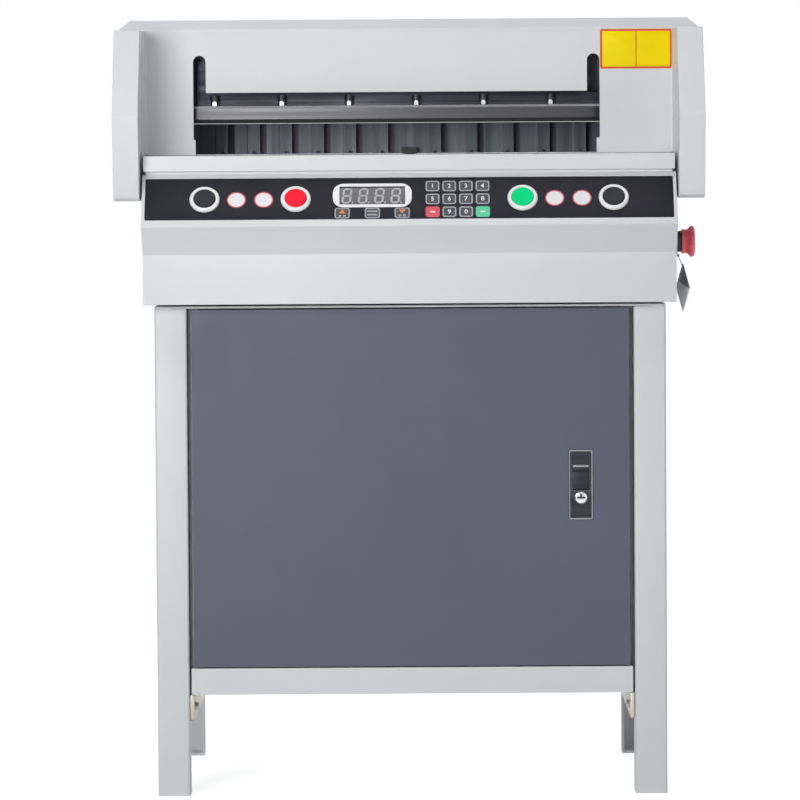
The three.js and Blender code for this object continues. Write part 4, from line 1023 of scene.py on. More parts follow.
def leg_shape(x, depth, height, turn):
    half = (x[1] - x[0]) / 2
    centre = middle_of(x, depth)
    outline = [(u + centre[0], v + centre[1]) for u, v in channel(half, LEG_SHEET, LEG_BEND, turn)]
    shape = prism(outline, "z", *height, edge=0.3)
    inner = half - LEG_SHEET - 0.05
    margins = (LEG_SHEET, FOOT_SETBACK)[::turn]
    foot = (depth[0] + margins[0], depth[1] - margins[1])
    foot_top = height[0] + FOOT_THICKNESS
    block(around(centre[0], inner), foot, (height[0], foot_top), edge=0.3, into=shape, axis="z",
          corner=1.0)
    for sign in (-1, 1):
        line = [(centre[0] + sign * inner, foot[0] + (foot[1] - foot[0]) * step / WELD_STEPS,
                 foot_top) for step in range(WELD_STEPS + 1)]
        tube(line, WELD_RADIUS, sides=8, into=shape)
    return shape


for side, _ in SIDES:
    for end, turn in (("front", 1), ("rear", -1)):
        node = f"leg_{end}_{side}"
        make_piece(f"folded_{node}", leg_shape(*span(node), turn), "stand_paint", node)

# %% [markdown]
# A flat frame closes the top of the stand, and two rails between the legs carry the cabinet's
# floor. The rails are zinc-plated strip, and the photograph shows the yellowish heads of the
# bolts that hold them.

# %% Top frame, rails and their bolts
soft_copy("top_frame", "stand_top_frame", "stand_paint", 0.8)

RAIL_BOLT = (5.2, 4.2)
RAIL_BOLT_INSET = 20
RAIL_STRIP = 5.4
for side, sign in SIDES:
    x, depth, height = span(f"side_rail_{side}")
    outer = x[0] if sign < 0 else x[1]
    inner = outer - sign * RAIL_STRIP
    strip = block(tuple(sorted((outer, inner))), depth, height, edge=0.5, axis="x", corner=1.2)
    make_piece(f"rail_{side}", strip, "zinc_steel", f"side_rail_{side}")
    ends = [(inner, place, *middle_of(height)) for place in inside(depth, RAIL_BOLT_INSET)]
    add_screws(f"rail_bolts_{side}", "hex", ends, (-sign, 0, 0), *RAIL_BOLT, zinc_plate,
               "zinc_steel")

# %% [markdown]
# ## Cabinet
#
# The cabinet's floor is a tray whose front edge is folded down into the light bar under the
# door; the sides and the back are panels with folded flanges. Their CAD solids only lack the
# bend radii, so soft copies stand for them.

# %% Cabinet sheets
soft_copy("floor_tray", "cabinet_floor", "stand_paint", 0.8, steps=3)
for node in ("cabinet_left_panel", "cabinet_right_panel", "cabinet_back_panel"):
    soft_copy(node.replace("cabinet", "folded"), node, "stand_paint", 0.6)

BACK_SCREW, BACK_ROWS, BACK_INSET = (3.6, 2.0), 4, (14, 18)
back_x, back_depth, back_height = span("cabinet_back_panel")
low_row, high_row = inside(back_height, BACK_INSET[1])
back_screws = [(across, back_depth[1], low_row + row * (high_row - low_row) / (BACK_ROWS - 1))
               for row in range(BACK_ROWS) for across in inside(back_x, BACK_INSET[0])]
add_screws("back_panel_screws", "cross", back_screws, (0, 1, 0), *BACK_SCREW, bright_screw,
           "zinc_steel")

# %% [markdown]
# ## Door
#
# The slate door is a shallow pan with its four edges folded back 18 mm, and turns on two pins at
# the left. A rib welded to the inside keeps the sheet from drumming. The pan is a soft copy of
# its solid, and the rib is a hat section, an outline pushed upwards.

# %% Door pan and rib
RIB_HALF, RIB_CROWN, RIB_HEIGHT, RIB_SHEET = 26, 15, 9, 1.2
DOOR_SHEET, RIB_GAP = 1.5, 14
soft_copy("door_pan", "cabinet_door", "door_paint", 0.7, body="door", steps=3)

door_x, door_depth, door_height = span("cabinet_door")
half_hat = [(RIB_HALF, 0), (RIB_CROWN, 0), (RIB_CROWN - 3, RIB_HEIGHT)]
half_back = [(RIB_CROWN - 2, RIB_HEIGHT + RIB_SHEET), (RIB_CROWN + 1, RIB_SHEET),
             (RIB_HALF, RIB_SHEET)]
hat = ([(-u, v) for u, v in half_hat] + half_hat[::-1] + half_back[::-1]
       + [(-u, v) for u, v in half_back])
(rib_middle,) = middle_of(door_x)
hat = rounded([(u + rib_middle, v + door_depth[0] + DOOR_SHEET) for u, v in hat],
              [0, 1, 1, 1, 1, 0, 0, 1.6, 1.6, 1.6, 1.6, 0])
make_piece("door_rib", prism(hat, "z", *inside(door_height, RIB_GAP)), "door_paint", body="door")
for node in ("door_hinge_pin_upper", "door_hinge_pin_lower"):
    x, depth, height = span(node)
    radius = (x[1] - x[0]) / 2
    pin = turned([(radius - 0.6, height[0]), (radius, height[0] + 0.6), (radius, height[1] - 0.6),
                  (radius - 0.6, height[1])], "z", middle_of(x, depth), sides=24)
    make_piece(node.replace("door_", ""), pin, "bright_steel", node)

# %% [markdown]
# ## Lock
#
# The lock is a flush plate with a bright bevelled rim, a dark lever that is pulled out by its upper
# edge and carries a bright strip there as a painted highlight, and a chromed cylinder with a key
# slot. The bevel's own faces get a second, bright material. The key slot is cut in, since a drawn one
# would be flat when light rakes over it, and its walls get a black material as painted shade in the
# key's hole.

# %% Lock plate
LOCK_RIM, OTHER_EDGES = 2.0, 0.12
lock_x, lock_depth, lock_height = span("lock_plate")


def mark_rim(shape):
    """Weighs the plate's outer front edges, so only they get the wide bevel."""
    weight = shape.edges.layers.float.new("bevel_weight_edge")
    for edge in shape.edges:
        ends = [vertex.co for vertex in edge.verts]
        in_front = all(abs(end.y - lock_depth[0]) < 0.1 for end in ends)
        outside = any(all(abs(end[axis] - limit) < 0.1 for end in ends)
                      for axis, limits in ((0, lock_x), (2, lock_height)) for limit in limits)
        folded = edge.calc_face_angle(0.0) > 0.5
        edge[weight] = 1.0 if in_front and outside else OTHER_EDGES if folded else 0.0


lock = soft_copy("lock_face", "lock_plate", "lock_metal", LOCK_RIM,
                 looks=[dark_steel, turned_steel], body="door", change=mark_rim)
lock.modifiers["bend"].limit_method = "WEIGHT"
lock.modifiers["bend"].material = 1

# %% Lock lever, with a bright strip along its upper edge, a painted highlight
LIP_HEIGHT, LIP_PROUD = 6, 1.4
LEVER_HIGHLIGHT = (0.5, 2.6)            # its upper and lower edge under the lever's top
lever_x, lever_depth, lever_height = span("lock_lever")
lever_side = [(lever_depth[0] + 1.0, lever_height[0]), (lever_depth[1], lever_height[0]),
              (lever_depth[1], lever_height[1]), (lever_depth[0], lever_height[1]),
              (lever_depth[0], lever_height[1] - LIP_HEIGHT),
              (lever_depth[0] + LIP_PROUD, lever_height[1] - LIP_HEIGHT - 3)]
lever = prism(rounded(lever_side, [0.8, 0.6, 0.6, 0.9, 0.9, 2.0]), "x", *lever_x, edge=0.5)
# The bright strip is a painted highlight on the lever's front, under its top.
block(inside(lever_x, 1.2), (lever_depth[0] - 0.25, lever_depth[0] + 0.6),
      (lever_height[1] - LEVER_HIGHLIGHT[1], lever_height[1] - LEVER_HIGHLIGHT[0]), edge=0.2, into=lever, corner=0.5,
      slot=1)
make_piece("lock_lever_dressed", lever, "lock_metal", "lock_lever",
           looks=[dark_steel, turned_steel], body="lever")

# %% Lock cylinder and latch
KEY_SLOT_HALF = (5.2, 1.1)
KEY_NOTCH_HALF = 1.3
KEY_REACH = 5.6               # how far the key's hole goes from the middle
cylinder_x, cylinder_depth, cylinder_height = span("lock_cylinder")
key_x, key_z = middle_of(cylinder_x, cylinder_height)
cylinder_radius = (cylinder_x[1] - cylinder_x[0]) / 2 - 0.02
front = cylinder_depth[0]
cylinder = turned([(cylinder_radius - 1.6, front), (cylinder_radius - 0.6, front + 0.35),
                   (cylinder_radius, front + 1.1), (cylinder_radius, cylinder_depth[1])],
                  "y", (key_x, key_z))
slot_cut = block(around(key_x, KEY_SLOT_HALF[0]), (front - 2, front + 3),
                 around(key_z, KEY_SLOT_HALF[1]), corner=0.9)
notch_cut = block(around(key_x, KEY_NOTCH_HALF), (front - 2, front + 2.2),
                  (key_z + 0.4, key_z + 4.8), corner=0.8)
barrel = carve(cylinder, slot_cut, notch_cut)
# Faces in the key's hole get a black material, painted shade; the chrome alone would show them white.
for face in barrel.faces:
    middle = face.calc_center_median()
    inward = math.hypot(middle.x - key_x, middle.z - key_z)
    face.material_index = int(inward < KEY_REACH and front + 0.2 < middle.y < front + 4)
make_piece("lock_barrel", barrel, "chrome", "lock_cylinder", looks=[chrome_plate, black_plastic],
           body="lock_turn")
soft_copy("latch", "latch_cam", "zinc_steel", 0.5, body="lock_turn")

# %% [markdown]
# ## Console
#
# The console is one folded sheet: an upright fascia, an undercut, and the tilted face that holds
# the control panel. Its outline, rounded at the folds, is pushed across the machine and hollowed
# by a smaller one. Pieces on the face are drawn flat, with the height measured up the face, and
# leaned back together by one matrix.

# %% Console shell
FACE_FOOT, FACE_TOP, FACE_TOP_DEPTH = 713.6, 777.5, 46.0
FACE = (Matrix.Translation((0, 0, FACE_FOOT))
        @ Matrix.Rotation(-math.atan2(FACE_TOP_DEPTH, FACE_TOP - FACE_FOOT), 4, "X"))
FASCIA_DEPTH, FASCIA_TOP = 40.0, 678.0
SHELL_SHEET, FACE_WALL, FOLD_RADIUS = 2.0, 4.6, 2.2
OPEN_REAR = -5                # the hollow goes out through the rear
PLATE_GAP, LEDGE = 0.3, 6.0
PLATE_THICKNESS = 2.0
THROUGH_FACE = (-8, 12)
STOP_CENTRE, STOP_HOLE = (95.0, 689.8), 11.3

plate_x = span("control_panel")[0]
plate_rise = (9.9, 72.0)
shell_x, shell_depth, shell_height = span("console_shell")
shell_side = [(FASCIA_DEPTH, shell_height[0]), (shell_depth[1], shell_height[0]),
              (shell_depth[1], FACE_TOP), (FACE_TOP_DEPTH, FACE_TOP),
              (shell_depth[0], FACE_FOOT), (FASCIA_DEPTH, FASCIA_TOP)]
hollow_side = shrunk(shell_side, [SHELL_SHEET, OPEN_REAR, SHELL_SHEET, FACE_WALL, SHELL_SHEET,
                                  SHELL_SHEET])
shell = prism(rounded(shell_side, [1.5, 1.0, 1.0, 1.2, FOLD_RADIUS, FOLD_RADIUS], steps=5), "x",
              *shell_x, edge=0.8)
hollow = prism(hollow_side, "x", *inside(shell_x, SHELL_SHEET))
pocket = place_shape(block(inside(plate_x, -PLATE_GAP), (-8, PLATE_THICKNESS + PLATE_GAP),
                           inside(plate_rise, -PLATE_GAP), corner=2.0), FACE)
window = place_shape(block(inside(plate_x, LEDGE - PLATE_GAP), THROUGH_FACE,
                           inside(plate_rise, LEDGE)), FACE)
stop_hole = drill(STOP_HOLE, (shell_x[1] - 8, shell_x[1] + 5), "x", STOP_CENTRE)
make_piece("console_fold", carve(shell, hollow, pocket, window, stop_hole), "body_paint",
           "console_shell", crease=28)

# %% [markdown]
# ### Control panel
#
# A printed film on a 2 mm plate covers the face. The prints stand a tenth of a millimetre off it,
# like real screen-print ink, so each print is a very flat solid. Beside the buttons the film has
# white discs with a red rim.

# %% Panel plate
BUTTON_RISE, BUTTON_HOLE = 39.7, 15.3
SCREEN_RISE, SCREEN_HEIGHT = 45.2, 27.1
THROUGH_PLATE = (-3, 6)
buttons = {name: (*middle_of(span(name)[0]), BUTTON_RISE) for name in
           ("start_button_left", "stop_button", "power_button", "start_button_right")}
screen_x = span("display_module")[0]
screen_middle = (*middle_of(screen_x), SCREEN_RISE)
screen_opening = (inside(screen_x, -PLATE_GAP), around(SCREEN_RISE, SCREEN_HEIGHT / 2))

plate = block(plate_x, (0, PLATE_THICKNESS), plate_rise, edge=0.25, corner=1.8)
holes = [drill(BUTTON_HOLE, THROUGH_PLATE, "y", place) for place in buttons.values()]
screen_hole = block(screen_opening[0], THROUGH_PLATE, screen_opening[1])
make_piece("panel_plate", carve(plate, *holes, screen_hole), "panel_film", "control_panel",
           turn=FACE)

# %% Ink on the film
INK = 0.1


def print_patch(outline, into=None, slot=0, level=1):
    """A patch of ink on the film; a higher level lies over a lower one."""
    return prism(outline, "y", -INK * level, 0.0, into=into, slot=slot)


def print_ring(outline, line, into=None, slot=0):
    """An outline of ink, line wide, measured inwards."""
    outline = counter_clockwise(outline)
    return band(outline, shrunk(outline, line), "y", -INK, 0.0, into=into, slot=slot)


DISC_RADIUS, DISC_RIM, DISC_OUT = 11.8, 1.5, (179.6, 213.3)
discs = bmesh.new()
for x in (-DISC_OUT[1], -DISC_OUT[0], *DISC_OUT):
    print_ring(circle((x, BUTTON_RISE), DISC_RADIUS), DISC_RIM, into=discs, slot=1)
    print_patch(circle((x, BUTTON_RISE), DISC_RADIUS - DISC_RIM + 0.05), into=discs)
make_piece("panel_discs", discs, "panel_film", looks=[print_white, print_red], turn=FACE)

# %% [markdown]
# The keypad has twelve keys under the film: ten with a digit, a red one and a green one. Geometry
# Nodes set their outlines out on a grid of points, from two filleted rectangles, one inside the
# other. The digits are Blender's own letters, turned into meshes.

# %% Key outlines
KEY_WIDTH, KEY_HEIGHT, KEY_CORNER, KEY_LINE = 17.0, 15.7, 3.2, 1.7
KEY_FIRST = (28.9, 20.0)
KEY_PITCH = (20.6, 19.4)
KEY_COLUMNS, KEY_ROWS = 4, 3

keys = Tree("key_outlines", Width=KEY_WIDTH * MM, Height=KEY_HEIGHT * MM, Corner=KEY_CORNER * MM,
            Line=KEY_LINE * MM, Ink=INK * MM, Columns=KEY_COLUMNS, Rows=KEY_ROWS,
            Column_pitch=KEY_PITCH[0] * MM, Row_pitch=KEY_PITCH[1] * MM)


def filleted(width, height, corner):
    quad = keys.node("GeometryNodeCurvePrimitiveQuadrilateral", Width=width, Height=height)
    return keys.node("GeometryNodeFilletCurve", settings={"mode": "POLY"}, Curve=quad.outputs[0],
                     Radius=corner, Count=4).outputs[0]


def pitches(count, pitch):
    """The length of a row, from the names of its inputs."""
    return keys.times(keys.inputs[pitch], keys.math("SUBTRACT", keys.inputs[count], 1.0))


double_line = keys.times(keys.inputs["Line"], 2.0)
outer_ring = filleted(keys.inputs["Width"], keys.inputs["Height"], keys.inputs["Corner"])
inner_ring = filleted(keys.math("SUBTRACT", keys.inputs["Width"], double_line),
                      keys.math("SUBTRACT", keys.inputs["Height"], double_line),
                      keys.math("SUBTRACT", keys.inputs["Corner"], keys.inputs["Line"]))
ring_face = keys.node("GeometryNodeFillCurve", keys.joined(outer_ring, inner_ring)).outputs[0]
thick = keys.node("GeometryNodeExtrudeMesh", Mesh=ring_face, Offset_Scale=keys.inputs["Ink"],
                  Individual=False)
under = keys.node("GeometryNodeFlipFaces", Mesh=ring_face)
closed = keys.node("GeometryNodeMergeByDistance", Distance=1e-6,
                   Geometry=keys.joined(thick.outputs["Mesh"], under.outputs[0]))
grid = keys.node("GeometryNodeMeshGrid", Vertices_X=keys.inputs["Columns"],
                 Vertices_Y=keys.inputs["Rows"], Size_X=pitches("Columns", "Column_pitch"),
                 Size_Y=pitches("Rows", "Row_pitch"))
keys.finish(keys.set_out(grid.outputs["Mesh"], closed.outputs[0]), print_grey)
key_rings = keys.build("key_rings")
key_middle = [KEY_FIRST[axis] + KEY_PITCH[axis] * (count - 1) / 2
              for axis, count in enumerate((KEY_COLUMNS, KEY_ROWS))]
key_rings.data.transform(
    TO_METRES @ FACE @ Matrix.Translation((key_middle[0], 0, key_middle[1]))
    @ Matrix.Rotation(math.pi / 2, 4, "X") @ Matrix.Scale(1 / MM, 4))
tie(key_rings, "base", "panel_film")

# %% Key fields and digits
DIGIT_SIZE, DIGIT_SWELL, KEY_BAR = 8.6, 0.12, (6.0, 2.2)
PLAIN_KEY, RED_KEY, GREEN_KEY, BAR_INK = range(4)


def write_digit(digit, x, rise):
    """One digit as a flat mesh on the film."""
    letters = bpy.data.curves.new(f"digit_{digit}", "FONT")
    letters.body = digit
    letters.size = DIGIT_SIZE
    letters.offset = DIGIT_SWELL
    letters.extrude = INK
    letters.align_x = "CENTER"
    letters.align_y = "CENTER"
    letters.resolution_u = 4
    shape = shape_from(settled_mesh(new_object("digit_holder", letters)))
    return place_shape(shape, Matrix.Translation((x, -INK, rise))
                       @ Matrix.Rotation(math.pi / 2, 4, "X"))


fields = bmesh.new()
digits = []
for row, line in enumerate(("-90+", "5678", "1234")):
    for column, mark in enumerate(line):
        x, rise = (KEY_FIRST[0] + KEY_PITCH[0] * column, KEY_FIRST[1] + KEY_PITCH[1] * row)
        if mark.isdigit():
            field = centred(x, rise, KEY_WIDTH - 2 * KEY_LINE, KEY_HEIGHT - 2 * KEY_LINE)
            print_patch(rounded(field, KEY_CORNER - KEY_LINE), into=fields, slot=PLAIN_KEY)
            digits.append(write_digit(mark, x, rise))
        else:
            field = centred(x, rise, KEY_WIDTH + 0.4, KEY_HEIGHT + 0.4)
            print_patch(rounded(field, KEY_CORNER), into=fields, level=1.6,
                        slot=RED_KEY if mark == "-" else GREEN_KEY)
            print_patch(rounded(centred(x, rise, *KEY_BAR), 1.0), into=fields, slot=BAR_INK,
                        level=2.4)
make_piece("key_fields", fields, "panel_film",
           looks=[print_dark, print_red, print_green, print_white], turn=FACE)
make_piece("key_digits", merge(*digits), "panel_film", looks=print_white, turn=FACE)

# %% [markdown]
# Under the display sit three more keys: one with a mark that points up, one with two lines, and
# one with a mark that points down.

# %% Keys under the display
SIDE_KEY = (18.6, 15.6)
SIDE_CORNER, SIDE_LINE, SIDE_KEY_RISE = 3.0, 1.5, 18.9
UP, NO_ARROW, DOWN = 1, 0, -1
SIDE_KEYS = ((-82.6, UP), (-45.4, NO_ARROW), (-8.6, DOWN))
DASH, DASH_LIFT, SPOT, SPOT_SHIFT = (12.6, 2.2), 2.6, (3.4, 2.4), 2.8
ARROW_HALF, ARROW_RISE, ARROW_TIP, ARROW_FOOT = 4.4, SIDE_KEY_RISE + 2.4, 3.2, 2.6
marks = bmesh.new()
for x, heading in SIDE_KEYS:
    print_ring(rounded(centred(x, SIDE_KEY_RISE, *SIDE_KEY), SIDE_CORNER), SIDE_LINE, into=marks)
    field = centred(x, SIDE_KEY_RISE, *(size - 2 * SIDE_LINE for size in SIDE_KEY))
    print_patch(rounded(field, SIDE_CORNER / 2), into=marks, slot=1)
    if heading == NO_ARROW:
        for rise in around(SIDE_KEY_RISE, DASH_LIFT):
            print_patch(rounded(centred(x, rise, *DASH), 0.8), into=marks, level=2)
        continue
    foot = ARROW_RISE - heading * ARROW_FOOT
    print_patch([(x - ARROW_HALF, foot), (x + ARROW_HALF, foot),
                 (x, ARROW_RISE + heading * ARROW_TIP)], into=marks, slot=2, level=2)
    for across in around(x, SPOT_SHIFT):
        print_patch(rounded(centred(across, SIDE_KEY_RISE - 4.0, *SPOT), 0.6), into=marks, level=2)
make_piece("side_keys", marks, "panel_film", looks=[print_grey, print_dark, print_orange],
           turn=FACE)

# %% [markdown]
# The display is a window with four digits of seven bars each. They are unlit, so all bars show as
# pale shapes on a dark ground, as in the photograph. A white frame lies round it.

# %% Display
SCREEN_FRAME, FRAME_CORNER, FRAME_PROUD = (97.4, 35.5), 13.5, 0.5
DIGIT_COUNT, DIGIT_PITCH, DIGIT_SHIFT = 4, 20.05, -1.2
DIGIT_HALF, BAR, BAR_GAP, SLANT = (4.6, 10.2), 1.25, 0.35, 0.12
WINDOW_DEPTH, BAR_FRONT, BAR_BACK, SCREEN_BACK = 0.6, 0.45, 0.7, 12.0
DOT_RADIUS, DOT_SHIFT = 1.3, 3.4

frame_outline = counter_clockwise(rounded(centred(*screen_middle, *SCREEN_FRAME), FRAME_CORNER,
                                          steps=7))
inner_frame = counter_clockwise(rounded(
    rectangle(*(inside(pair, 0.1) for pair in screen_opening)), 0.6, steps=7))
make_piece("screen_frame", band(frame_outline, inner_frame, "y", -FRAME_PROUD, 0.0),
           "bezel_plastic", turn=FACE)
screen = block(screen_x, (WINDOW_DEPTH, SCREEN_BACK), inside(screen_opening[1], PLATE_GAP), edge=0.3)
make_piece("screen", screen, "display", "display_module", turn=FACE)


def bar_outline(start, end):
    """A seven-segment bar with pointed ends, between two corners of the digit."""
    along = (Vector(end) - Vector(start)).normalized()
    side = Vector((-along.y, along.x)) * BAR
    start, end = Vector(start) + along * BAR_GAP, Vector(end) - along * BAR_GAP
    return [tuple(point) for point in (start, start + along * BAR - side, end - along * BAR - side,
                                       end, end - along * BAR + side, start + along * BAR + side)]


def slanted(point, x):
    return x + point[0] + point[1] * SLANT, SCREEN_RISE + point[1]


wide, tall = DIGIT_HALF
level_bars = [((-wide, rise), (wide, rise)) for rise in (tall, 0, -tall)]
upright_bars = [((side, low), (side, low + tall)) for low in (0, -tall) for side in (-wide, wide)]
bars = bmesh.new()
for place in range(DIGIT_COUNT):
    x = screen_middle[0] + DIGIT_SHIFT + (place - (DIGIT_COUNT - 1) / 2) * DIGIT_PITCH
    for start, end in level_bars + upright_bars:
        outline = [slanted(point, x) for point in bar_outline(start, end)]
        prism(outline, "y", BAR_FRONT, BAR_BACK, into=bars)
    turned([(DOT_RADIUS, BAR_FRONT), (DOT_RADIUS, BAR_BACK)], "y",
           slanted((wide + DOT_SHIFT, -tall), x), sides=16, into=bars)
make_piece("screen_bars", bars, "display", looks=print_pale, turn=FACE)

# %% [markdown]
# ### Buttons
#
# Each button is turned: a white ring with a rounded rim and a hollow barrel, and a cap with a soft
# shoulder that can go down inside it. A fluted nut holds the barrel from behind.

# %% Button rings, caps and nuts
BARREL_END, CAP_BASE, CAP_RADIUS, WELL_RADIUS, WELL_FLOOR = 32.0, 5.0, 13.5, 13.8, 14.0
STEM_RADIUS = 5.0
STEM_END = 9.8                # pressed by 4 mm, the stem ends short of the well's floor
ring_profile = [(0, WELL_FLOOR), (WELL_RADIUS, WELL_FLOOR), (WELL_RADIUS, -3.3), (14.1, -3.8),
                (14.8, -4.0), (16.4, -4.0), (17.4, -3.75), (18.3, -2.9), (18.7, -2.0),
                (18.75, -0.3), (15.0, -0.3), (15.0, BARREL_END - 1), (14.4, BARREL_END),
                (0, BARREL_END)]
cap_profile = [(0, -4.5), (6.0, -4.62), (10.4, -4.9), (11.8, -5.0), (12.7, -4.8), (13.3, -4.2),
               (CAP_RADIUS, -3.4), (CAP_RADIUS, CAP_BASE - 0.4), (13.1, CAP_BASE),
               (STEM_RADIUS, CAP_BASE), (STEM_RADIUS, STEM_END), (0, STEM_END)]
NUT_FLUTES, NUT_RADIUS, NUT_BORE, FLUTE_DEPTH = 24, 19.0, 15.1, 1.1
NUT_FROM, NUT_TO = 5.0, 10.0


def fluted_nut(place):
    """A ring nut with flutes for the fingers."""
    points = 2 * NUT_FLUTES
    ridges, valleys = (circle(place, NUT_RADIUS - depth, points) for depth in (0, FLUTE_DEPTH))
    outline = [valleys[side] if side % 2 else ridges[side] for side in range(points)]
    return band(outline, circle(place, NUT_BORE, points), "y", NUT_FROM, NUT_TO)


BUTTON_LOOKS = {
    "start_button_left": ("start_bezel_left", "start_cap_left", black_cap, "black_plastic"),
    "stop_button": ("stop_bezel", "stop_cap", red_cap, "red_plastic"),
    "power_button": ("power_bezel", "power_cap", green_cap, "green_plastic"),
    "start_button_right": ("start_bezel_right", "start_cap_right", black_cap, "black_plastic"),
}
for node, (bezel, body, look, slot) in BUTTON_LOOKS.items():
    make_piece(bezel.replace("bezel", "ring"), turned(ring_profile, "y", buttons[node], sides=64),
               "bezel_plastic", bezel, turn=FACE)
    make_piece(node.replace("button", "cap_top"), turned(cap_profile, "y", buttons[node], sides=56),
               slot, node, looks=look, body=body, turn=FACE)
    make_piece(bezel.replace("bezel", "nut"), fluted_nut(buttons[node]), "black_plastic", turn=FACE)

# %% [markdown]
# ### Emergency stop
#
# The red head is a mushroom on a wide neck, turned, with sixteen grip ridges pressed into the rim
# by moving the rim's points inwards. It stands on a black grooved collar on the right wall.

# %% Emergency stop head and collar
NECK_START = 8.9
HEAD_FLOOR = 13.2             # pressed by 4 mm, the head's inside stays off the collar
GRIPS, GRIP_DEPTH, GRIP_INNER, GRIP_RANGE = 16, 0.9, 16.0, (8.5, 15.0)
head_curve = [(13.7, 0.3), (14.2, 0), (15.0, 0.1), (15.4, 0.7), (15.1, 2.6), (14.7, 4.4),
              (14.8, 6.0), (15.4, 7.5), (17.2, 9.2), (19.0, 10.8), (19.4, 11.6), (19.4, 13.0),
              (18.9, 14.4), (17.7, 15.6), (15.6, 16.2), (10.0, 16.28), (0, 16.3)]
head_profile = [(0, HEAD_FLOOR), (13.7, HEAD_FLOOR)]
head_profile += [(radius, NECK_START + along) for radius, along in head_curve]
collar_profile = [(0, -10.0), (11.0, -10.0), (11.0, 0.3), (13.0, 0.3), (13.25, 0.6),
                  (13.25, 2.0), (12.8, 2.3), (12.8, 5.0), (13.25, 5.3), (13.25, 8.2), (12.9, 8.6),
                  (0, 8.6)]


def on_wall(profile, sides):
    """A profile turned round the emergency stop's axis, out from the right wall."""
    return turned([(radius, along + shell_x[1]) for radius, along in profile], "x", STOP_CENTRE,
                  sides=sides)


head = on_wall(head_profile, 96)
for vertex in head.verts:
    out = Vector((vertex.co.y - STOP_CENTRE[0], vertex.co.z - STOP_CENTRE[1]))
    proud = vertex.co.x - shell_x[1] - NECK_START
    if out.length > GRIP_INNER and GRIP_RANGE[0] < proud < GRIP_RANGE[1]:
        wave = 0.5 - 0.5 * math.cos(GRIPS * math.atan2(out.y, out.x))
        out *= 1 - GRIP_DEPTH * wave ** 2 / out.length
        vertex.co.y, vertex.co.z = STOP_CENTRE[0] + out.x, STOP_CENTRE[1] + out.y
make_piece("stop_head", head, "estop_red", "estop_head", body="estop_cap", crease=40)

collar = on_wall(collar_profile, 64)
BLOCK_FROM, BLOCK_TO, BLOCK_HALF = -40.0, -10.0, 15.0
block((shell_x[1] + BLOCK_FROM, shell_x[1] + BLOCK_TO), around(STOP_CENTRE[0], BLOCK_HALF),
      around(STOP_CENTRE[1], BLOCK_HALF), edge=0.6, into=collar, axis="x", corner=2.0)
make_piece("stop_collar", collar, "black_plastic", "estop_collar")

# %% [markdown]
# The tag is a square card hung by a corner, and turned a little away from the wall, as in the
# photograph. Its upper part is darker, as painted shade, and its lower part pale, as painted light. A
# thread with a knot ties it round the collar.

# %% Card of the tag
TAG_OUT, TAG_TOP, TAG_SIDE, TAG_TURN = 10.5, 662.6, 43.0, 13.3
TAG_THICKNESS = 1.0
SPLIT_DROP, SPLIT_SLOPE = 0.86, 0.16     # where the card's dark part ends
EYELET_DROP, EYELET_RADIUS, EYELET_HOLE, EYELET_PROUD = 5.2, 2.9, 1.5, 0.35
half = TAG_SIDE / math.sqrt(2)
tag_turn = (Matrix.Translation((shell_x[1] + TAG_OUT, STOP_CENTRE[0], TAG_TOP))
            @ Matrix.Rotation(math.radians(TAG_TURN), 4, "Z"))
outline = rounded([(0, 0), (-half, -half), (0, -2 * half), (half, -half)], [1.5, 2.5, 2.5, 2.5])
card = prism(outline, "x", *around(0, TAG_THICKNESS / 2), edge=0.2)
bmesh.ops.bisect_plane(card, geom=card.verts[:] + card.edges[:] + card.faces[:],
                       plane_co=(0, 0, -half * SPLIT_DROP), plane_no=(0, -SPLIT_SLOPE, 1.0))
# Above the slanted line the card gets painted shade, below it painted light.
for face in card.faces:
    middle = face.calc_center_median()
    face.material_index = 0 if middle.z - middle.y * SPLIT_SLOPE > -half * SPLIT_DROP else 1
for side in (-1, 1):
    top = side * (TAG_THICKNESS / 2 + EYELET_PROUD)
    turned([(EYELET_RADIUS, side * TAG_THICKNESS / 2), (EYELET_RADIUS - 0.2, top),
            (EYELET_HOLE, top)], "x", (0, -EYELET_DROP), sides=20, into=card, slot=2)
make_piece("tag_card", place_shape(card, tag_turn), "tag_card", "hang_tag",
           looks=[tag_painted_shade, tag_painted_light, bright_screw], body="tag")

# %% Thread of the tag
THREAD, THREAD_SIDES = 0.75, 8
LOOP_OUT, LOOP_RADIUS, LOOP_STEPS = 3.0, 14.2, 48
KNOT_OUT, KNOT_DROP, KNOT_STEPS = 1.6, 3.4, 20
SWAY, STRAND_GAP, KNOT_SIZE = 0.5, 0.2, (1.1, 1.3, 0.9)
loop_out = shell_x[1] + LOOP_OUT
loop = [(loop_out, *point) for point in
        arc_points(STOP_CENTRE, LOOP_RADIUS, -math.pi / 2, 3 * math.pi / 2, LOOP_STEPS)]
thread = tube(loop, THREAD, THREAD_SIDES)
knot_place = Vector((loop_out + KNOT_OUT, STOP_CENTRE[0], STOP_CENTRE[1] - LOOP_RADIUS - KNOT_DROP))
tag_hole = Vector((shell_x[1] + TAG_OUT, STOP_CENTRE[0], TAG_TOP - 4.6))
for sway in (-SWAY, SWAY):
    strand = [Vector(loop[0]).lerp(knot_place, share / 3) for share in range(4)]
    strand += [knot_place.lerp(tag_hole, share / 6)
               + Vector((0, sway * math.sin(math.pi * share / 6), 0)) for share in range(1, 7)]
    shift = Vector((0, sway * STRAND_GAP, 0))
    tube([point + shift for point in strand], THREAD * 0.7, THREAD_SIDES, into=thread)
knot_turns = [2 * math.pi * step / KNOT_STEPS for step in range(KNOT_STEPS + 1)]
knot = [knot_place + Vector((KNOT_SIZE[0] * math.cos(turn), KNOT_SIZE[1] * math.sin(turn),
                             KNOT_SIZE[2] * math.sin(2 * turn))) for turn in knot_turns]
tube(knot, THREAD * 0.9, THREAD_SIDES, into=thread)
make_piece("tag_thread", thread, "tag_card", looks=print_pale, body="tag", crease=60)

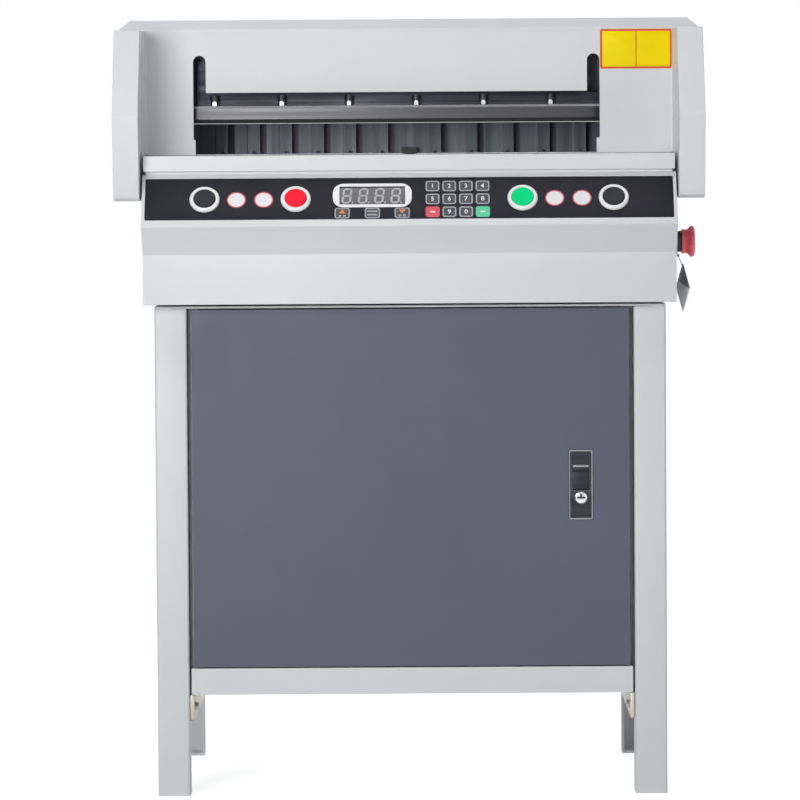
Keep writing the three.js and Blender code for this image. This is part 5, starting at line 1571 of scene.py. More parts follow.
# %% [markdown]
# ## Covers
#
# The arm covers, the rear cover and the roof are folded boxes of two millimetre sheet, so their
# CAD solids only lack the bends. The front cover is more: above the throat its lower band is
# folded back by ten degrees, catches less light and ends in a bright edge. Its soft copy is cut
# along the fold, and the band is leaned back.

# %% Arm covers, rear cover and roof
for side, _ in SIDES:
    soft_copy(f"arm_fold_{side}", f"arm_cover_{side}", "body_paint", 0.95, steps=3)
soft_copy("rear_fold", "rear_cover", "body_paint", 0.8)
soft_copy("roof_fold", "top_cover", "body_paint", 0.48, steps=3)

# %% Front cover with its leaning apron
APRON_FOLD, APRON_EDGE, APRON_LEAN = 891.0, 879.0, 2.2
THROAT = (-271.8, 240.8)
THROAT_CORNER, COVER_SHEET = 15, 3
cover_x, cover_depth, cover_height = span("front_cover")


def lean_apron(shape):
    """Cuts the sheet at the fold and leans the band over the throat back."""
    bmesh.ops.bisect_plane(shape, geom=shape.verts[:] + shape.edges[:] + shape.faces[:],
                           plane_co=(0, 0, APRON_FOLD), plane_no=(0, 0, 1), dist=1e-4)
    low, high = inside(THROAT, THROAT_CORNER)
    for vertex in shape.verts:
        over_throat = low < vertex.co.x < high and vertex.co.z < APRON_FOLD - 0.01
        if over_throat and vertex.co.y < cover_depth[0] + COVER_SHEET:
            share = (APRON_FOLD - vertex.co.z) / (APRON_FOLD - APRON_EDGE)
            vertex.co.y += APRON_LEAN * share


soft_copy("front_fold", "front_cover", "body_paint", 0.7, change=lean_apron, crease=30)

# %% [markdown]
# Filler strips close the seams that the photograph doesn't show: along the roof, in the two
# corners beside the arms, and under the table's lip. They are painted over with the body.

# %% Filler strips
SEAM_PROUD, SEAM_TOP, CORNER_FILL = 0.15, 958.4, 2.4
LIP_FILL_X, LIP_FILL_DEPTH = (-326, 326), (0.5, 16)
front = cover_depth[0]
lip_low = span("table_plate")[2][0]
fillers = block(inside(cover_x, 0.3), (front - SEAM_PROUD, front + 0.4),
                (cover_height[1] - 1.4, SEAM_TOP), edge=0.1)
for wall, sign in ((cover_x[0] - 0.2, 1), (cover_x[1] + 0.2, -1)):
    inner = wall + sign * CORNER_FILL
    hollow = arc_points((inner, front - CORNER_FILL), CORNER_FILL, math.pi / 2,
                        math.pi / 2 + sign * math.pi / 2, 5)
    prism(hollow + [(wall, front + 0.2), (inner, front + 0.2)], "z", lip_low + 22, SEAM_TOP - 1.5,
          into=fillers)
block(LIP_FILL_X, [FACE_TOP_DEPTH + depth for depth in LIP_FILL_DEPTH],
      (FACE_TOP - 0.2, lip_low + 0.1), into=fillers)
make_piece("seam_fillers", fillers, "body_paint")

# %% [markdown]
# The light-curtain strips sit in slots of the arms' inner walls: a dark red window with a row of
# dark lenses that stand a little proud of it, into the throat.

# %% Light-curtain strips
LENS_COUNT, LENS_RADIUS, LENS_MARGIN = 12, 3.0, 12
for side, sign in SIDES:
    x, depth, height = span(f"light_curtain_{side}")
    face = x[1] if sign < 0 else x[0]
    strip = block(x, depth, height, edge=0.6, axis="x", corner=2.0)
    low, high = inside(height, LENS_MARGIN)
    for place in range(LENS_COUNT):
        rise = low + place * (high - low) / (LENS_COUNT - 1)
        turned([(LENS_RADIUS, face + sign * 0.2), (LENS_RADIUS, face - sign * 0.1),
                (LENS_RADIUS * 0.7, face - sign * 0.24), (0, face - sign * 0.3)], "x",
               (*middle_of(depth), rise), sides=16, into=strip, slot=1)
    make_piece(f"curtain_{side}", strip, "curtain_window", f"light_curtain_{side}",
               looks=[curtain_red, window_dark])
print("lenses:", LENS_COUNT, "on each side")

# %% [markdown]
# ### Plate on the right column
#
# A bright yellow plate, half a millimetre thick, with an orange border and a thin divider, which
# are ink that stands proud of it.

# %% Yellow plate
PLATE = ((241.5, 332.3), (906.5, 956.6))
PLATE_DIVIDER, DIVIDER_HALF = 287.0, 0.7
PLATE_PROUD, PLATE_BORDER, PLATE_INK = 0.5, 2.8, 0.08
plate_front = cover_depth[0] - PLATE_PROUD
label = block(PLATE[0], (plate_front, cover_depth[0] + 0.1), PLATE[1], edge=0.12, corner=2.5)
ink = (plate_front - PLATE_INK, plate_front + 0.02)
within = [inside(pair, PLATE_BORDER) for pair in PLATE]
band(shrunk(rounded(rectangle(*PLATE), 2.5), 0.1), rounded(rectangle(*within), 0.5), "y", *ink,
     into=label, slot=1)
block(around(PLATE_DIVIDER, DIVIDER_HALF), ink, within[1], into=label, slot=1)
make_piece("plain_plate", label, "body_paint", looks=[plate_yellow, plate_border], crease=40)

# %% Screws of the covers
COVER_SCREW = (3.8, 0.9)      # a low head, inside the roof's overhang
ARM_SCREWS = ((212, 438), (768, 936))
REAR_INSET, REAR_LOW, REAR_HIGH = 16, 14, 10


def add_cover_screws(name, places, facing):
    add_screws(name, "cross", places, facing, *COVER_SCREW, bright_screw, "zinc_steel")


arm_x = span("arm_cover_right")[0][1]
for side, sign in SIDES:
    places = [(sign * arm_x, depth, height) for depth in ARM_SCREWS[0] for height in ARM_SCREWS[1]]
    add_cover_screws(f"arm_screws_{side}", places, (sign, 0, 0))
rear_x, rear_depth, rear_height = span("rear_cover")
rear_rows = (rear_height[0] + REAR_LOW, *middle_of(rear_height), rear_height[1] - REAR_HIGH)
places = [(across, rear_depth[1], row) for across in inside(rear_x, REAR_INSET)
          for row in rear_rows]
add_cover_screws("rear_cover_screws", places, (0, 1, 0))

# %% [markdown]
# ## Table
#
# The table is a cast and coated plate with a groove for the cutting stick. A soft copy rounds its
# edges; the stick has a worn line where the knife's edge lands on it.

# %% Table, stick and rear table
STICK_GROOVE = 0.35
soft_copy("table_top", "table_plate", "table_paint", 1.0, steps=3)
soft_copy("rear_tray", "rear_table", "body_paint", 0.8)
stick_x, stick_depth, stick_height = span("cutting_stick")
(groove,) = middle_of(stick_depth)
stick_outline = rectangle(stick_depth, stick_height)
stick_outline[3:3] = [(groove + STICK_GROOVE, stick_height[1]),
                      (groove, stick_height[1] - STICK_GROOVE),
                      (groove - STICK_GROOVE, stick_height[1])]
stick = prism(rounded(stick_outline, [0.5, 0.5, 0.5, 0, 0, 0, 0.5]), "x", *stick_x, edge=0.4)
make_piece("stick_grooved", stick, "stick_plastic", "cutting_stick")

# %% [markdown]
# ## Base tub
#
# Behind the console the machine's body is an open tub with the power inlet in its rear wall. The
# inlet is a shrouded socket with three pins, and its rim lies on the sheet.

# %% Base tub and power inlet
INLET_WALL, INLET_RIM, INLET_RECESS, RIM_THICKNESS = 2.2, 2.5, 16.0, 2.0
PIN_SIZE, PIN_FRONT = (1.8, 5.6), 3.5
INLET_PINS = ((-6.0, -1.6), (6.0, -1.6), (0, 2.6))
TUB_INSET, TUB_LOW, TUB_HIGH, SHELL_INSET, SHELL_ROWS = 16, 18, 50, 18, (640, 752)
soft_copy("base_tub", "base_shell", "body_paint", 0.9)
inlet_x, inlet_depth, inlet_height = span("power_inlet")
rear = inlet_depth[1]


def inlet_outline(inset, low_radius, high_radius):
    """The socket's outline: a box inside the rim, with its upper corners cut rounder."""
    return rounded(rectangle(inside(inlet_x, inset), inside(inlet_height, inset)),
                   [low_radius, low_radius, high_radius, high_radius])


rim = prism(inlet_outline(0, 3.0, 3.0), "y", rear - RIM_THICKNESS, rear, edge=0.4)
housing = prism(inlet_outline(INLET_RIM, 1.0, 5.0), "y", inlet_depth[0], rear - 1.9)
recess = prism(inlet_outline(INLET_RIM + INLET_WALL, 0.5, 3.0), "y", rear - INLET_RECESS, rear + 4)
socket = merge(carve(rim, recess.copy()), carve(housing, recess))
inlet_middle = middle_of(inlet_x, inlet_height)
pins = bmesh.new()
for across, rise in INLET_PINS:
    block(around(inlet_middle[0] + across, PIN_SIZE[0] / 2),
          (rear - INLET_RECESS - 0.5, rear - PIN_FRONT),
          around(inlet_middle[1] + rise, PIN_SIZE[1] / 2), edge=0.3, into=pins, corner=0.4)
make_piece("inlet_socket", socket, "black_plastic", "power_inlet")
make_piece("inlet_pins", pins, "bright_steel", looks=copper_pin)
tub_x, tub_depth, tub_height = span("base_shell")
for side, sign in SIDES:
    places = [(sign * tub_x[1], depth, height) for depth in inside(tub_depth, TUB_INSET)
              for height in (tub_height[0] + TUB_LOW, tub_height[1] - TUB_HIGH)]
    places += [(sign * shell_x[1], shell_depth[1] - SHELL_INSET, row) for row in SHELL_ROWS]
    add_cover_screws(f"base_screws_{side}", places, (sign, 0, 0))

# %% [markdown]
# ## Knife
#
# The knife is a long bar with a ground bevel below and a chamfer on top: narrow faces of one bar,
# which get their own material by the way they face. The bevel, which faces down, gets a darker steel
# as painted shade, and the chamfer, which faces up, a bright one as painted highlight. It is screwed
# to the carrier, a heavy plate that slides on two pins along slanted slots.

# %% Knife
CHAMFER, BEVEL_START = 2.8, 845.7
knife_x, knife_depth, knife_height = span("knife")
knife_side = [(knife_depth[0], BEVEL_START), (knife_depth[1], knife_height[0]),
              (knife_depth[1], knife_height[1]), (knife_depth[0] + CHAMFER, knife_height[1]),
              (knife_depth[0], knife_height[1] - CHAMFER)]
knife = prism(knife_side, "x", *knife_x, edge=0.3)
bmesh.ops.recalc_face_normals(knife, faces=knife.faces)
for face in knife.faces:
    face.normal_update()
    slanting = abs(face.normal.y) > 0.1 and abs(face.normal.z) > 0.1
    # Upward slants get the painted highlight, downward slants the painted shade.
    face.material_index = 0 if not slanting else 1 if face.normal.z > 0 else 2
make_piece("knife_bar", knife, "knife_steel", "knife",
           looks=[knife_steel, chamfer_painted_highlight, bevel_painted_shade], body="knife_unit")

# %% Knife carrier
PIN_RADIUS, PIN_BORE = 8.3, 7.3
SLIDE = (24.0, -39.8)         # how far the carrier goes, to the right and down
CARRIER_SHEET = 15.7
CARRIER_LOW, CARRIER_LUG, CARRIER_RIGHT = 846.0, 282.0, 222.0
SHOULDER, CUT_CORNER = 878.0, 31.0
GUIDE_PINS, GUIDE_HEIGHT = (-180.0, 140.0), 892.0
LUG_PIN = (270.0, 862.0)
carrier_x, carrier_depth, carrier_height = span("knife_carrier")
carrier_front = carrier_depth[1] - CARRIER_SHEET
through_carrier = (carrier_front - 4, carrier_depth[1] + 4)
carrier_outline = [(carrier_x[0], CARRIER_LOW), (CARRIER_LUG, CARRIER_LOW),
                   (CARRIER_LUG, SHOULDER), (CARRIER_RIGHT, SHOULDER),
                   (CARRIER_RIGHT, carrier_height[1]),
                   (carrier_x[0] + CUT_CORNER, carrier_height[1]),
                   (carrier_x[0], carrier_height[1] - CUT_CORNER)]


def slide_slot(across):
    """The slanted slot that a guide pin leaves, from where it stands up the slide."""
    start = Vector((across, GUIDE_HEIGHT))
    end = start - Vector(SLIDE) * 1.01
    heading = math.atan2(end.y - start.y, end.x - start.x)
    return (arc_points(end, PIN_RADIUS, heading - math.pi / 2, heading + math.pi / 2, 12)
            + arc_points(start, PIN_RADIUS, heading + math.pi / 2, heading + 3 * math.pi / 2, 12))


carrier = prism(rounded(carrier_outline, [2, 6, 4, 5, 2, 2, 2]), "y", carrier_front,
                carrier_depth[1], edge=0.9)
cutters = [prism(slide_slot(across), "y", *through_carrier) for across in GUIDE_PINS]
cutters.append(drill(PIN_BORE, through_carrier, "y", LUG_PIN, sides=32))
make_piece("carrier_plate", carve(carrier, *cutters), "dark_steel", "knife_carrier",
           body="knife_unit", crease=28)

# %% [markdown]
# Six screws on the carrier press the knife down, and show in the throat. Geometry Nodes set them
# along a line: the black heads in one piece and the bright shanks in another.

# %% Adjusting screws
ADJUSTERS, ADJUSTER_FIRST, ADJUSTER_PITCH = 6, -245.7, 85.0
ADJUSTER_DEPTH = carrier_front - 4.9
HEAD_Z, HEAD_TOP = 869.0, 875.4
SHANK_LOW = knife_height[1] + 0.3


def row_tree(name, **sizes):
    """A tree that will set something out along a line of points."""
    tree = Tree(name, Pitch=ADJUSTER_PITCH * MM, Count=ADJUSTERS, **sizes)
    step = tree.node("ShaderNodeCombineXYZ", X=tree.inputs["Pitch"])
    line = tree.node("GeometryNodeMeshLine", Count=tree.inputs["Count"], Offset=step.outputs[0])
    return tree, line.outputs["Mesh"]


def tie_row(tree, line, thing, look, name, height):
    tree.finish(tree.set_out(line, thing), look)
    piece = tree.build(name)
    piece.data.transform(Matrix.Translation(spot(ADJUSTER_FIRST, ADJUSTER_DEPTH, height)))
    smooth(piece)
    tie(piece, "knife_unit", "dark_steel")


heads, line = row_tree("adjuster_heads_tree", Radius=5.4 * MM, Height=(HEAD_TOP - HEAD_Z) * MM)
radius, height = heads.inputs["Radius"], heads.inputs["Height"]
disc = heads.cylinder(HEAD_SIDES, radius, heads.times(height, 0.18))
tie_row(heads, line, heads.joined(socket_head(heads, radius, height), disc), black_screw,
        "adjuster_heads", HEAD_Z)

shanks, line = row_tree("adjuster_shanks_tree", Radius=3.0 * MM, Length=(HEAD_Z - SHANK_LOW) * MM,
                        Nut=4.4 * MM)
radius, length = shanks.inputs["Radius"], shanks.inputs["Length"]
nut = shanks.cylinder(6, shanks.times(radius, 1.7), shanks.inputs["Nut"])
tie_row(shanks, line, shanks.joined(shanks.cylinder(20, radius, length),
                                    shanks.lifted(nut, shanks.times(length, -0.12))),
        bright_screw, "adjuster_shanks", (HEAD_Z + SHANK_LOW) / 2)

# %% [markdown]
# A thin rail runs along the carrier behind the screws. The photograph shows it as a faint light
# line with worn paint at its left end.

# %% Carrier rail
RAIL_Z, RAIL_PROUD, RAIL_MARGIN = (866.2, 867.6), 1.4, 4
rail = block(inside((carrier_x[0], CARRIER_RIGHT), RAIL_MARGIN),
             (carrier_front - RAIL_PROUD, carrier_front + 0.5), RAIL_Z, edge=0.3, axis="x",
             corner=0.4)
make_piece("carrier_rail", rail, "dark_steel", body="knife_unit")

# %% [markdown]
# ## Frame and clamp
#
# The side frames and the crossbeam are castings with rounded edges. The clamp presses the stack
# before the knife comes down; its beam is a smooth bar with a bored nut for the clamp screw.

# %% Side frames, crossbeam and clamp
for side, _ in SIDES:
    soft_copy(f"cast_frame_{side}", f"side_frame_{side}", "frame_iron", 1.4)
soft_copy("cast_beam", "crossbeam", "frame_iron", 1.2)
soft_copy("clamp_bar", "clamp_beam", "gauge_aluminium", 1.0, body="clamp")

screw_x, screw_depth, screw_height = span("clamp_screw")
clamp_thread = threaded("z", middle_of(screw_x, screw_depth), *screw_height, radius=7.95,
                        root=6.4, pitch=5.0)
make_piece("clamp_thread", clamp_thread, "bright_steel", "clamp_screw", body="clamp_spindle")

# %% [markdown]
# ## Drive
#
# A gearmotor in the base turns a crank disc, and a connecting rod pulls the knife's carrier down.
# The disc has lightening holes and a shouldered crank pin. The rod is forged: two eyes joined by
# a bar, with a pocket in each face.

# %% Crank disc
SHAFT = (270.0, 697.09)
CRANK_PIN = (SHAFT[0], 716.0)
SHAFT_BORE, BORE_FLOOR, DISC_THICKNESS = 10.3, 3.5, 14.0
HOLE_RING, HOLE_RADIUS, HOLE_TURNS = 22.0, 5.0, (-150, -90, -30)
disc_x, (_, disc_rear), _ = span("crank_disc")
_, rod_depth, rod_height = span("connecting_rod")
disc_radius = (disc_x[1] - disc_x[0]) / 2
disc_front = disc_rear - DISC_THICKNESS
disc = turned([(0, disc_front), (disc_radius - 1.5, disc_front), (disc_radius, disc_front + 1.2),
               (disc_radius, disc_rear - 1.2), (disc_radius - 1.5, disc_rear),
               (SHAFT_BORE, disc_rear), (SHAFT_BORE, disc_front + BORE_FLOOR),
               (0, disc_front + BORE_FLOOR)], "y", SHAFT, sides=64)
holes = [drill(HOLE_RADIUS, (disc_front - 3, disc_rear + 3), "y",
               (SHAFT[0] + HOLE_RING * math.cos(math.radians(degrees)),
                SHAFT[1] + HOLE_RING * math.sin(math.radians(degrees))), sides=24)
         for degrees in HOLE_TURNS]
pin_radius, pin_front = PIN_BORE - 0.3, rod_depth[0] - 0.3
crank_pin = turned([(0, pin_front), (pin_radius - 0.8, pin_front), (pin_radius, pin_front + 0.8),
                    (pin_radius, rod_depth[1] + 0.6), (pin_radius + 3, rod_depth[1] + 0.9),
                    (pin_radius + 3, disc_front + 1), (0, disc_front + 1)], "y", CRANK_PIN)
make_piece("crank_wheel", merge(carve(disc, *holes), crank_pin), "bright_steel", "crank_disc",
           body="crank", crease=28)

# %% Connecting rod
EYE_RADIUS, BAR_HALF, EYE_STEPS = 12.0, 8.0, 28
POCKET_HALF, POCKET_DEPTH, POCKET_SHORT = 4.6, 2.6, 18
low_eye, high_eye = CRANK_PIN, (SHAFT[0], rod_height[1] - EYE_RADIUS)
neck = math.acos(BAR_HALF / EYE_RADIUS)
rod_outline = (arc_points(high_eye, EYE_RADIUS, -neck, math.pi + neck, EYE_STEPS)
               + arc_points(low_eye, EYE_RADIUS, math.pi - neck, 2 * math.pi + neck, EYE_STEPS))
forging = prism(rod_outline, "y", *rod_depth, edge=0.9)
pocket_outline = rounded(rectangle(around(SHAFT[0], POCKET_HALF),
                                   inside((low_eye[1], high_eye[1]), POCKET_SHORT)), POCKET_HALF)
cutters = [prism(pocket_outline, "y", rod_depth[0] - 2, rod_depth[0] + POCKET_DEPTH),
           prism(pocket_outline, "y", rod_depth[1] - POCKET_DEPTH, rod_depth[1] + 2)]
cutters += [drill(PIN_BORE, inside(rod_depth, -2), "y", eye, sides=40)
            for eye in (low_eye, high_eye)]
make_piece("rod_forged", carve(forging, *cutters), "frame_iron", "connecting_rod", body="rod",
           crease=28)

# %% [markdown]
# The gearbox is a cast housing in two halves with a bolted joint and a bearing cover round the
# shaft. Its motor has cooling fins, set round it by Geometry Nodes, and a fan cowl at the end.

# %% Gearbox and its motor
MOTOR_RADIUS, MOTOR_JOIN, FLANGE_START = 50.0, 220.0, 206.0
SHAFT_RADIUS, SHAFT_FRONT, BOX_FRONT = 10.0, 230.8, 245.0
HOUSING_INSET, COVER_RADIUS, JOINT_DEPTH = 3.0, 24.0, (33, 41)
FIN_HEIGHT, COWL_LENGTH, COWL_GROOVE, COWL_RINGS = 6.0, 30.0, 1.6, (14, 28)
box_x, box_depth, box_height = span("drive_gearmotor")
gear_x = (MOTOR_JOIN, box_x[1])
housing = block(inside(gear_x, HOUSING_INSET), (BOX_FRONT + 1.5, box_depth[1]),
                inside(box_height, HOUSING_INSET), edge=3.0, corner=8.0)
joint = block(gear_x, [BOX_FRONT + depth for depth in JOINT_DEPTH], box_height, edge=0.8,
              corner=9.0)
cover = turned([(SHAFT_RADIUS + 0.6, BOX_FRONT + 4), (SHAFT_RADIUS + 0.6, BOX_FRONT),
                (COVER_RADIUS - 1, BOX_FRONT), (COVER_RADIUS, BOX_FRONT + 1),
                (COVER_RADIUS, BOX_FRONT + 5), (SHAFT_RADIUS + 0.6, BOX_FRONT + 4)], "y", SHAFT)
shaft = turned([(0, SHAFT_FRONT), (SHAFT_RADIUS - 1, SHAFT_FRONT), (SHAFT_RADIUS, SHAFT_FRONT + 1),
                (SHAFT_RADIUS, BOX_FRONT + 4), (0, BOX_FRONT + 4)], "y", SHAFT)
motor_centre = (*middle_of((BOX_FRONT, box_depth[1])), SHAFT[1])
core, motor_end = MOTOR_RADIUS - FIN_HEIGHT, box_x[0]
cowl_end = motor_end + COWL_LENGTH
cowl_face = [(0, motor_end)]
for ring in COWL_RINGS:
    cowl_face += [(ring, motor_end), (ring + 1, motor_end + COWL_GROOVE),
                  (ring + 7, motor_end + COWL_GROOVE), (ring + 8, motor_end)]
motor = turned(cowl_face + [
    (MOTOR_RADIUS - 5, motor_end), (MOTOR_RADIUS, motor_end + 5), (MOTOR_RADIUS, cowl_end),
    (core, cowl_end + 0.2), (core, FLANGE_START), (MOTOR_RADIUS, FLANGE_START + 0.2),
    (MOTOR_RADIUS, MOTOR_JOIN + 2), (0, MOTOR_JOIN + 2)], "x", motor_centre, sides=64)
make_piece("gearbox_cast", merge(housing, joint, cover, shaft, motor), "frame_iron",
           "drive_gearmotor", crease=30)
BOLT_SIZE, BOLT_INSET = (4.5, 1.2), 12.0
bolt_places = [(x, BOX_FRONT + 1.5, z) for x in inside(gear_x, BOLT_INSET)
               for z in inside(box_height, BOLT_INSET)]
add_screws("gearbox_bolts", "socket", bolt_places, (0, -1, 0), *BOLT_SIZE, black_screw,
           "dark_steel")

# %% Motor fins
FIN_SUNK, FIN_COUNT, FIN_THICKNESS = 0.4, 36, 1.8
fins = Tree("motor_fins_tree", Count=FIN_COUNT, Radius=(core + FIN_HEIGHT / 2 - FIN_SUNK) * MM,
            Height=FIN_HEIGHT * MM, Thickness=FIN_THICKNESS * MM,
            Length=(FLANGE_START - cowl_end) * MM)
fin_size = fins.node("ShaderNodeCombineXYZ", fins.inputs["Height"], fins.inputs["Thickness"],
                     fins.inputs["Length"])
fin = fins.node("GeometryNodeMeshCube", Size=fin_size.outputs[0])
out_there = fins.node("ShaderNodeCombineXYZ", X=fins.inputs["Radius"])
placed_fin = fins.node("GeometryNodeTransform", Geometry=fin.outputs["Mesh"],
                       Translation=out_there.outputs[0])
stack = fins.node("GeometryNodeMeshLine", Count=fins.inputs["Count"], Offset=(0, 0, 0))
share = fins.math("DIVIDE", fins.node("GeometryNodeInputIndex").outputs[0], fins.inputs["Count"])
angle = fins.node("ShaderNodeCombineXYZ", Z=fins.times(share, 2 * math.pi))
turn = fins.node("FunctionNodeEulerToRotation", Euler=angle.outputs[0])
fins.finish(fins.set_out(stack.outputs["Mesh"], placed_fin.outputs[0], turn.outputs[0]), casting)
piece = fins.build("motor_fins")
piece.data.transform(Matrix.Translation(spot(*middle_of((cowl_end, FLANGE_START)), *motor_centre))
                     @ Matrix.Rotation(math.pi / 2, 4, "Y"))
tie(piece, "base", "frame_iron")

# %% Clamp gearmotor
CLAMP_AXIS, CLAMP_BORE = (0.0, 248.0), 8.3
CLAMP_BOX = ((-32.0, 32.0), (224.0, 276.0), (923.3, 953.3))
CLAMP_LINK = ((-13.5, 13.5), (271, 281), (928.3, 948.3))
CLAMP_MOTOR, CLAMP_MOTOR_CENTRE, CAN_START = 27.0, (0, 926.0), 276.3
CAP_RIM, FRONT_CAP, REAR_CAP = 0.9, (278, 292), 22
can_end = span("clamp_gearmotor")[1][1]
housing = carve(block(*CLAMP_BOX, edge=1.6, axis="z", corner=5.0),
                drill(CLAMP_BORE, inside(CLAMP_BOX[2], -2), "z", CLAMP_AXIS))
can = turned([(0, CAN_START), (CLAMP_MOTOR - 2, CAN_START), (CLAMP_MOTOR, FRONT_CAP[0]),
              (CLAMP_MOTOR, FRONT_CAP[1]), (CLAMP_MOTOR - CAP_RIM, FRONT_CAP[1] + 0.4),
              (CLAMP_MOTOR - CAP_RIM, can_end - REAR_CAP),
              (CLAMP_MOTOR, can_end - REAR_CAP + 0.4), (CLAMP_MOTOR, can_end - 3),
              (CLAMP_MOTOR - 3, can_end), (11, can_end), (10, can_end - 2), (0, can_end - 2)],
             "y", CLAMP_MOTOR_CENTRE)
link = block(*CLAMP_LINK, edge=0.6, corner=2.0)
make_piece("clamp_drive", merge(housing, can, link), "frame_iron", "clamp_gearmotor", crease=30)

# %% [markdown]
# ## Back gauge
#
# The gauge is a slotted plate on a foot. Left of each slot the photograph shows a pale ridge with a
# bright left edge and a small dark hole at its foot. The plate is an outline pushed upwards, with
# ridges in front, deep slots, and the rest set back a little. The ridges' left faces get a bright
# material, painted highlight, and faces in the slots a darker one, painted shade.

# %% Back gauge
FIN_FRONT, FIN_BACK, GAUGE_BACK, FOOT_TOP = 400.0, 414.0, 420.0, 807.0
SLOT_WIDTH, RIDGE_WIDTH, RIDGE_LEAN, SET_BACK = 9.0, 15.5, 2.0, 2.2
LEFT_SLOTS, LEFT_START, LEFT_PITCH = 6, -27.9, 41.8
RIGHT_SLOTS, RIGHT_START, RIGHT_PITCH = 5, 41.2, 47.3
RIDGE_HOLE, HOLE_RISE, HOLE_SHIFT, HOLE_DEPTH = 3.2, 1.0, 7.0, 8
PLAIN, IN_SLOT, RIDGE_HIGHLIGHT = range(3)
FOOT_SCREWS, FOOT_SCREW_INSET = (-240, -120, 120, 220, -24, 24), 14
FOOT_SCREW = (4.5, 3.5)
gauge_x, gauge_depth, gauge_height = span("back_gauge")
slot_starts = ([LEFT_START - LEFT_PITCH * index for index in reversed(range(LEFT_SLOTS))]
               + [RIGHT_START + RIGHT_PITCH * index for index in range(RIGHT_SLOTS)])
gauge_front = FIN_FRONT + SET_BACK
front_edge = [(gauge_x[0], gauge_front)]
for start in slot_starts:
    ridge = start - RIDGE_WIDTH
    front_edge += [(ridge - RIDGE_LEAN, gauge_front), (ridge, FIN_FRONT), (start, FIN_FRONT),
                   (start, FIN_BACK), (start + SLOT_WIDTH, FIN_BACK),
                   (start + SLOT_WIDTH, gauge_front)]
front_edge += [(gauge_x[1], gauge_front), (gauge_x[1], GAUGE_BACK), (gauge_x[0], GAUGE_BACK)]
holes = [turned([(0, FIN_FRONT - 3), (RIDGE_HOLE, FIN_FRONT - 3),
                 (RIDGE_HOLE, FIN_FRONT + HOLE_DEPTH), (0, FIN_FRONT + HOLE_DEPTH)], "y",
                (start - HOLE_SHIFT, gauge_height[0] + HOLE_RISE), sides=20)
         for start in slot_starts]
slotted = carve(prism(front_edge, "z", *gauge_height), *holes)
foot = block(gauge_x, (GAUGE_BACK - 3, gauge_depth[1]), (gauge_height[0], FOOT_TOP), edge=0.4)
gauge = merge(slotted, foot)
# Faces in the slots get painted shade, and the ridges' left faces a painted highlight.
for face in gauge.faces:
    face.normal_update()
    middle = face.calc_center_median()
    deep = gauge_front + 0.1 < middle.y < FIN_BACK + 0.1
    between_ends = gauge_x[0] + 1 < middle.x < gauge_x[1] - 1
    level = abs(face.normal.z) > 0.9
    leaning = face.normal.x * face.normal.y > 0.1
    if level or not (deep or leaning):
        face.material_index = PLAIN
    elif abs(face.normal.x) > 0.2 and middle.y < gauge_front:
        face.material_index = RIDGE_HIGHLIGHT if leaning else PLAIN
    else:
        face.material_index = IN_SLOT if deep and between_ends else PLAIN
gauge_plate = make_piece("gauge_plate", gauge, "gauge_aluminium", "back_gauge",
                         looks=[gauge_alloy, slot_shade, ridge_painted_highlight], body="gauge", crease=30)
add_bend(gauge_plate, 0.35, 1, angle=50)
soft_copy("nut_block", "gauge_nut", "black_plastic", 0.9, body="gauge")
foot_places = [(x, gauge_depth[1] - FOOT_SCREW_INSET, FOOT_TOP) for x in FOOT_SCREWS]
add_screws("gauge_screws", "socket", foot_places, (0, 0, 1), *FOOT_SCREW, black_screw,
           "dark_steel", body="gauge")

# %% [markdown]
# ## Lead screw and gauge motor
#
# The screw winds from its coupling to the rear wall. Its motor is a square stepper: two die-cast
# caps with a stack of steel sheets between them, which show as fine rings.

# %% Lead screw
SCREW_AXIS = (0.0, 748.0)
HUB_RADIUS, HUB_REAR, HUB_BORE, HUB_FLOOR, HUB_GROOVE = 11.0, 225.0, 4.3, 219.3, (214.8, 217.2)
lead_depth = span("gauge_lead_screw")[1]
lead = threaded("y", SCREW_AXIS, HUB_REAR - 1, lead_depth[1], radius=7.0, root=5.7, pitch=4.0,
                sides=20)
hub = turned([(0, HUB_FLOOR), (HUB_BORE, HUB_FLOOR), (HUB_BORE, lead_depth[0]),
              (HUB_RADIUS - 0.8, lead_depth[0]), (HUB_RADIUS, lead_depth[0] + 0.8),
              (HUB_RADIUS, HUB_GROOVE[0]), (HUB_RADIUS - 1, HUB_GROOVE[0] + 0.4),
              (HUB_RADIUS - 1, HUB_GROOVE[1] - 0.4), (HUB_RADIUS, HUB_GROOVE[1]),
              (HUB_RADIUS, HUB_REAR - 0.8), (HUB_RADIUS - 0.8, HUB_REAR), (0, HUB_REAR)],
             "y", SCREW_AXIS, sides=40)
make_piece("lead_thread", merge(lead, hub), "bright_steel", "gauge_lead_screw",
           body="gauge_spindle")

# %% Gauge motor
MOTOR_FACE, HANGER_SHEET, CUT_CORNERS = 202.7, 4.0, 5.0
SHEETS, SHEET_SHARE, SHEET_INSET, SHEET_GAP = 20, 0.55, 0.3, 0.7
CAP_REAR, CAP_FRONT, OVERLAP = 12, 9, 0.1
STEPPER_SCREW, STEPPER_INSET = (2.8, 1.0), 6
motor_x, motor_depth, motor_height = span("gauge_motor")
square_height = (motor_height[0], SCREW_AXIS[1] + motor_x[1])
square = rounded(rectangle(motor_x, square_height), CUT_CORNERS, steps=1)


def motor_part(start, end, inset, edge=0.0, into=None):
    """A slice of the square motor with its corners cut off."""
    return prism(shrunk(square, inset), "y", start, end, edge=edge, into=into)


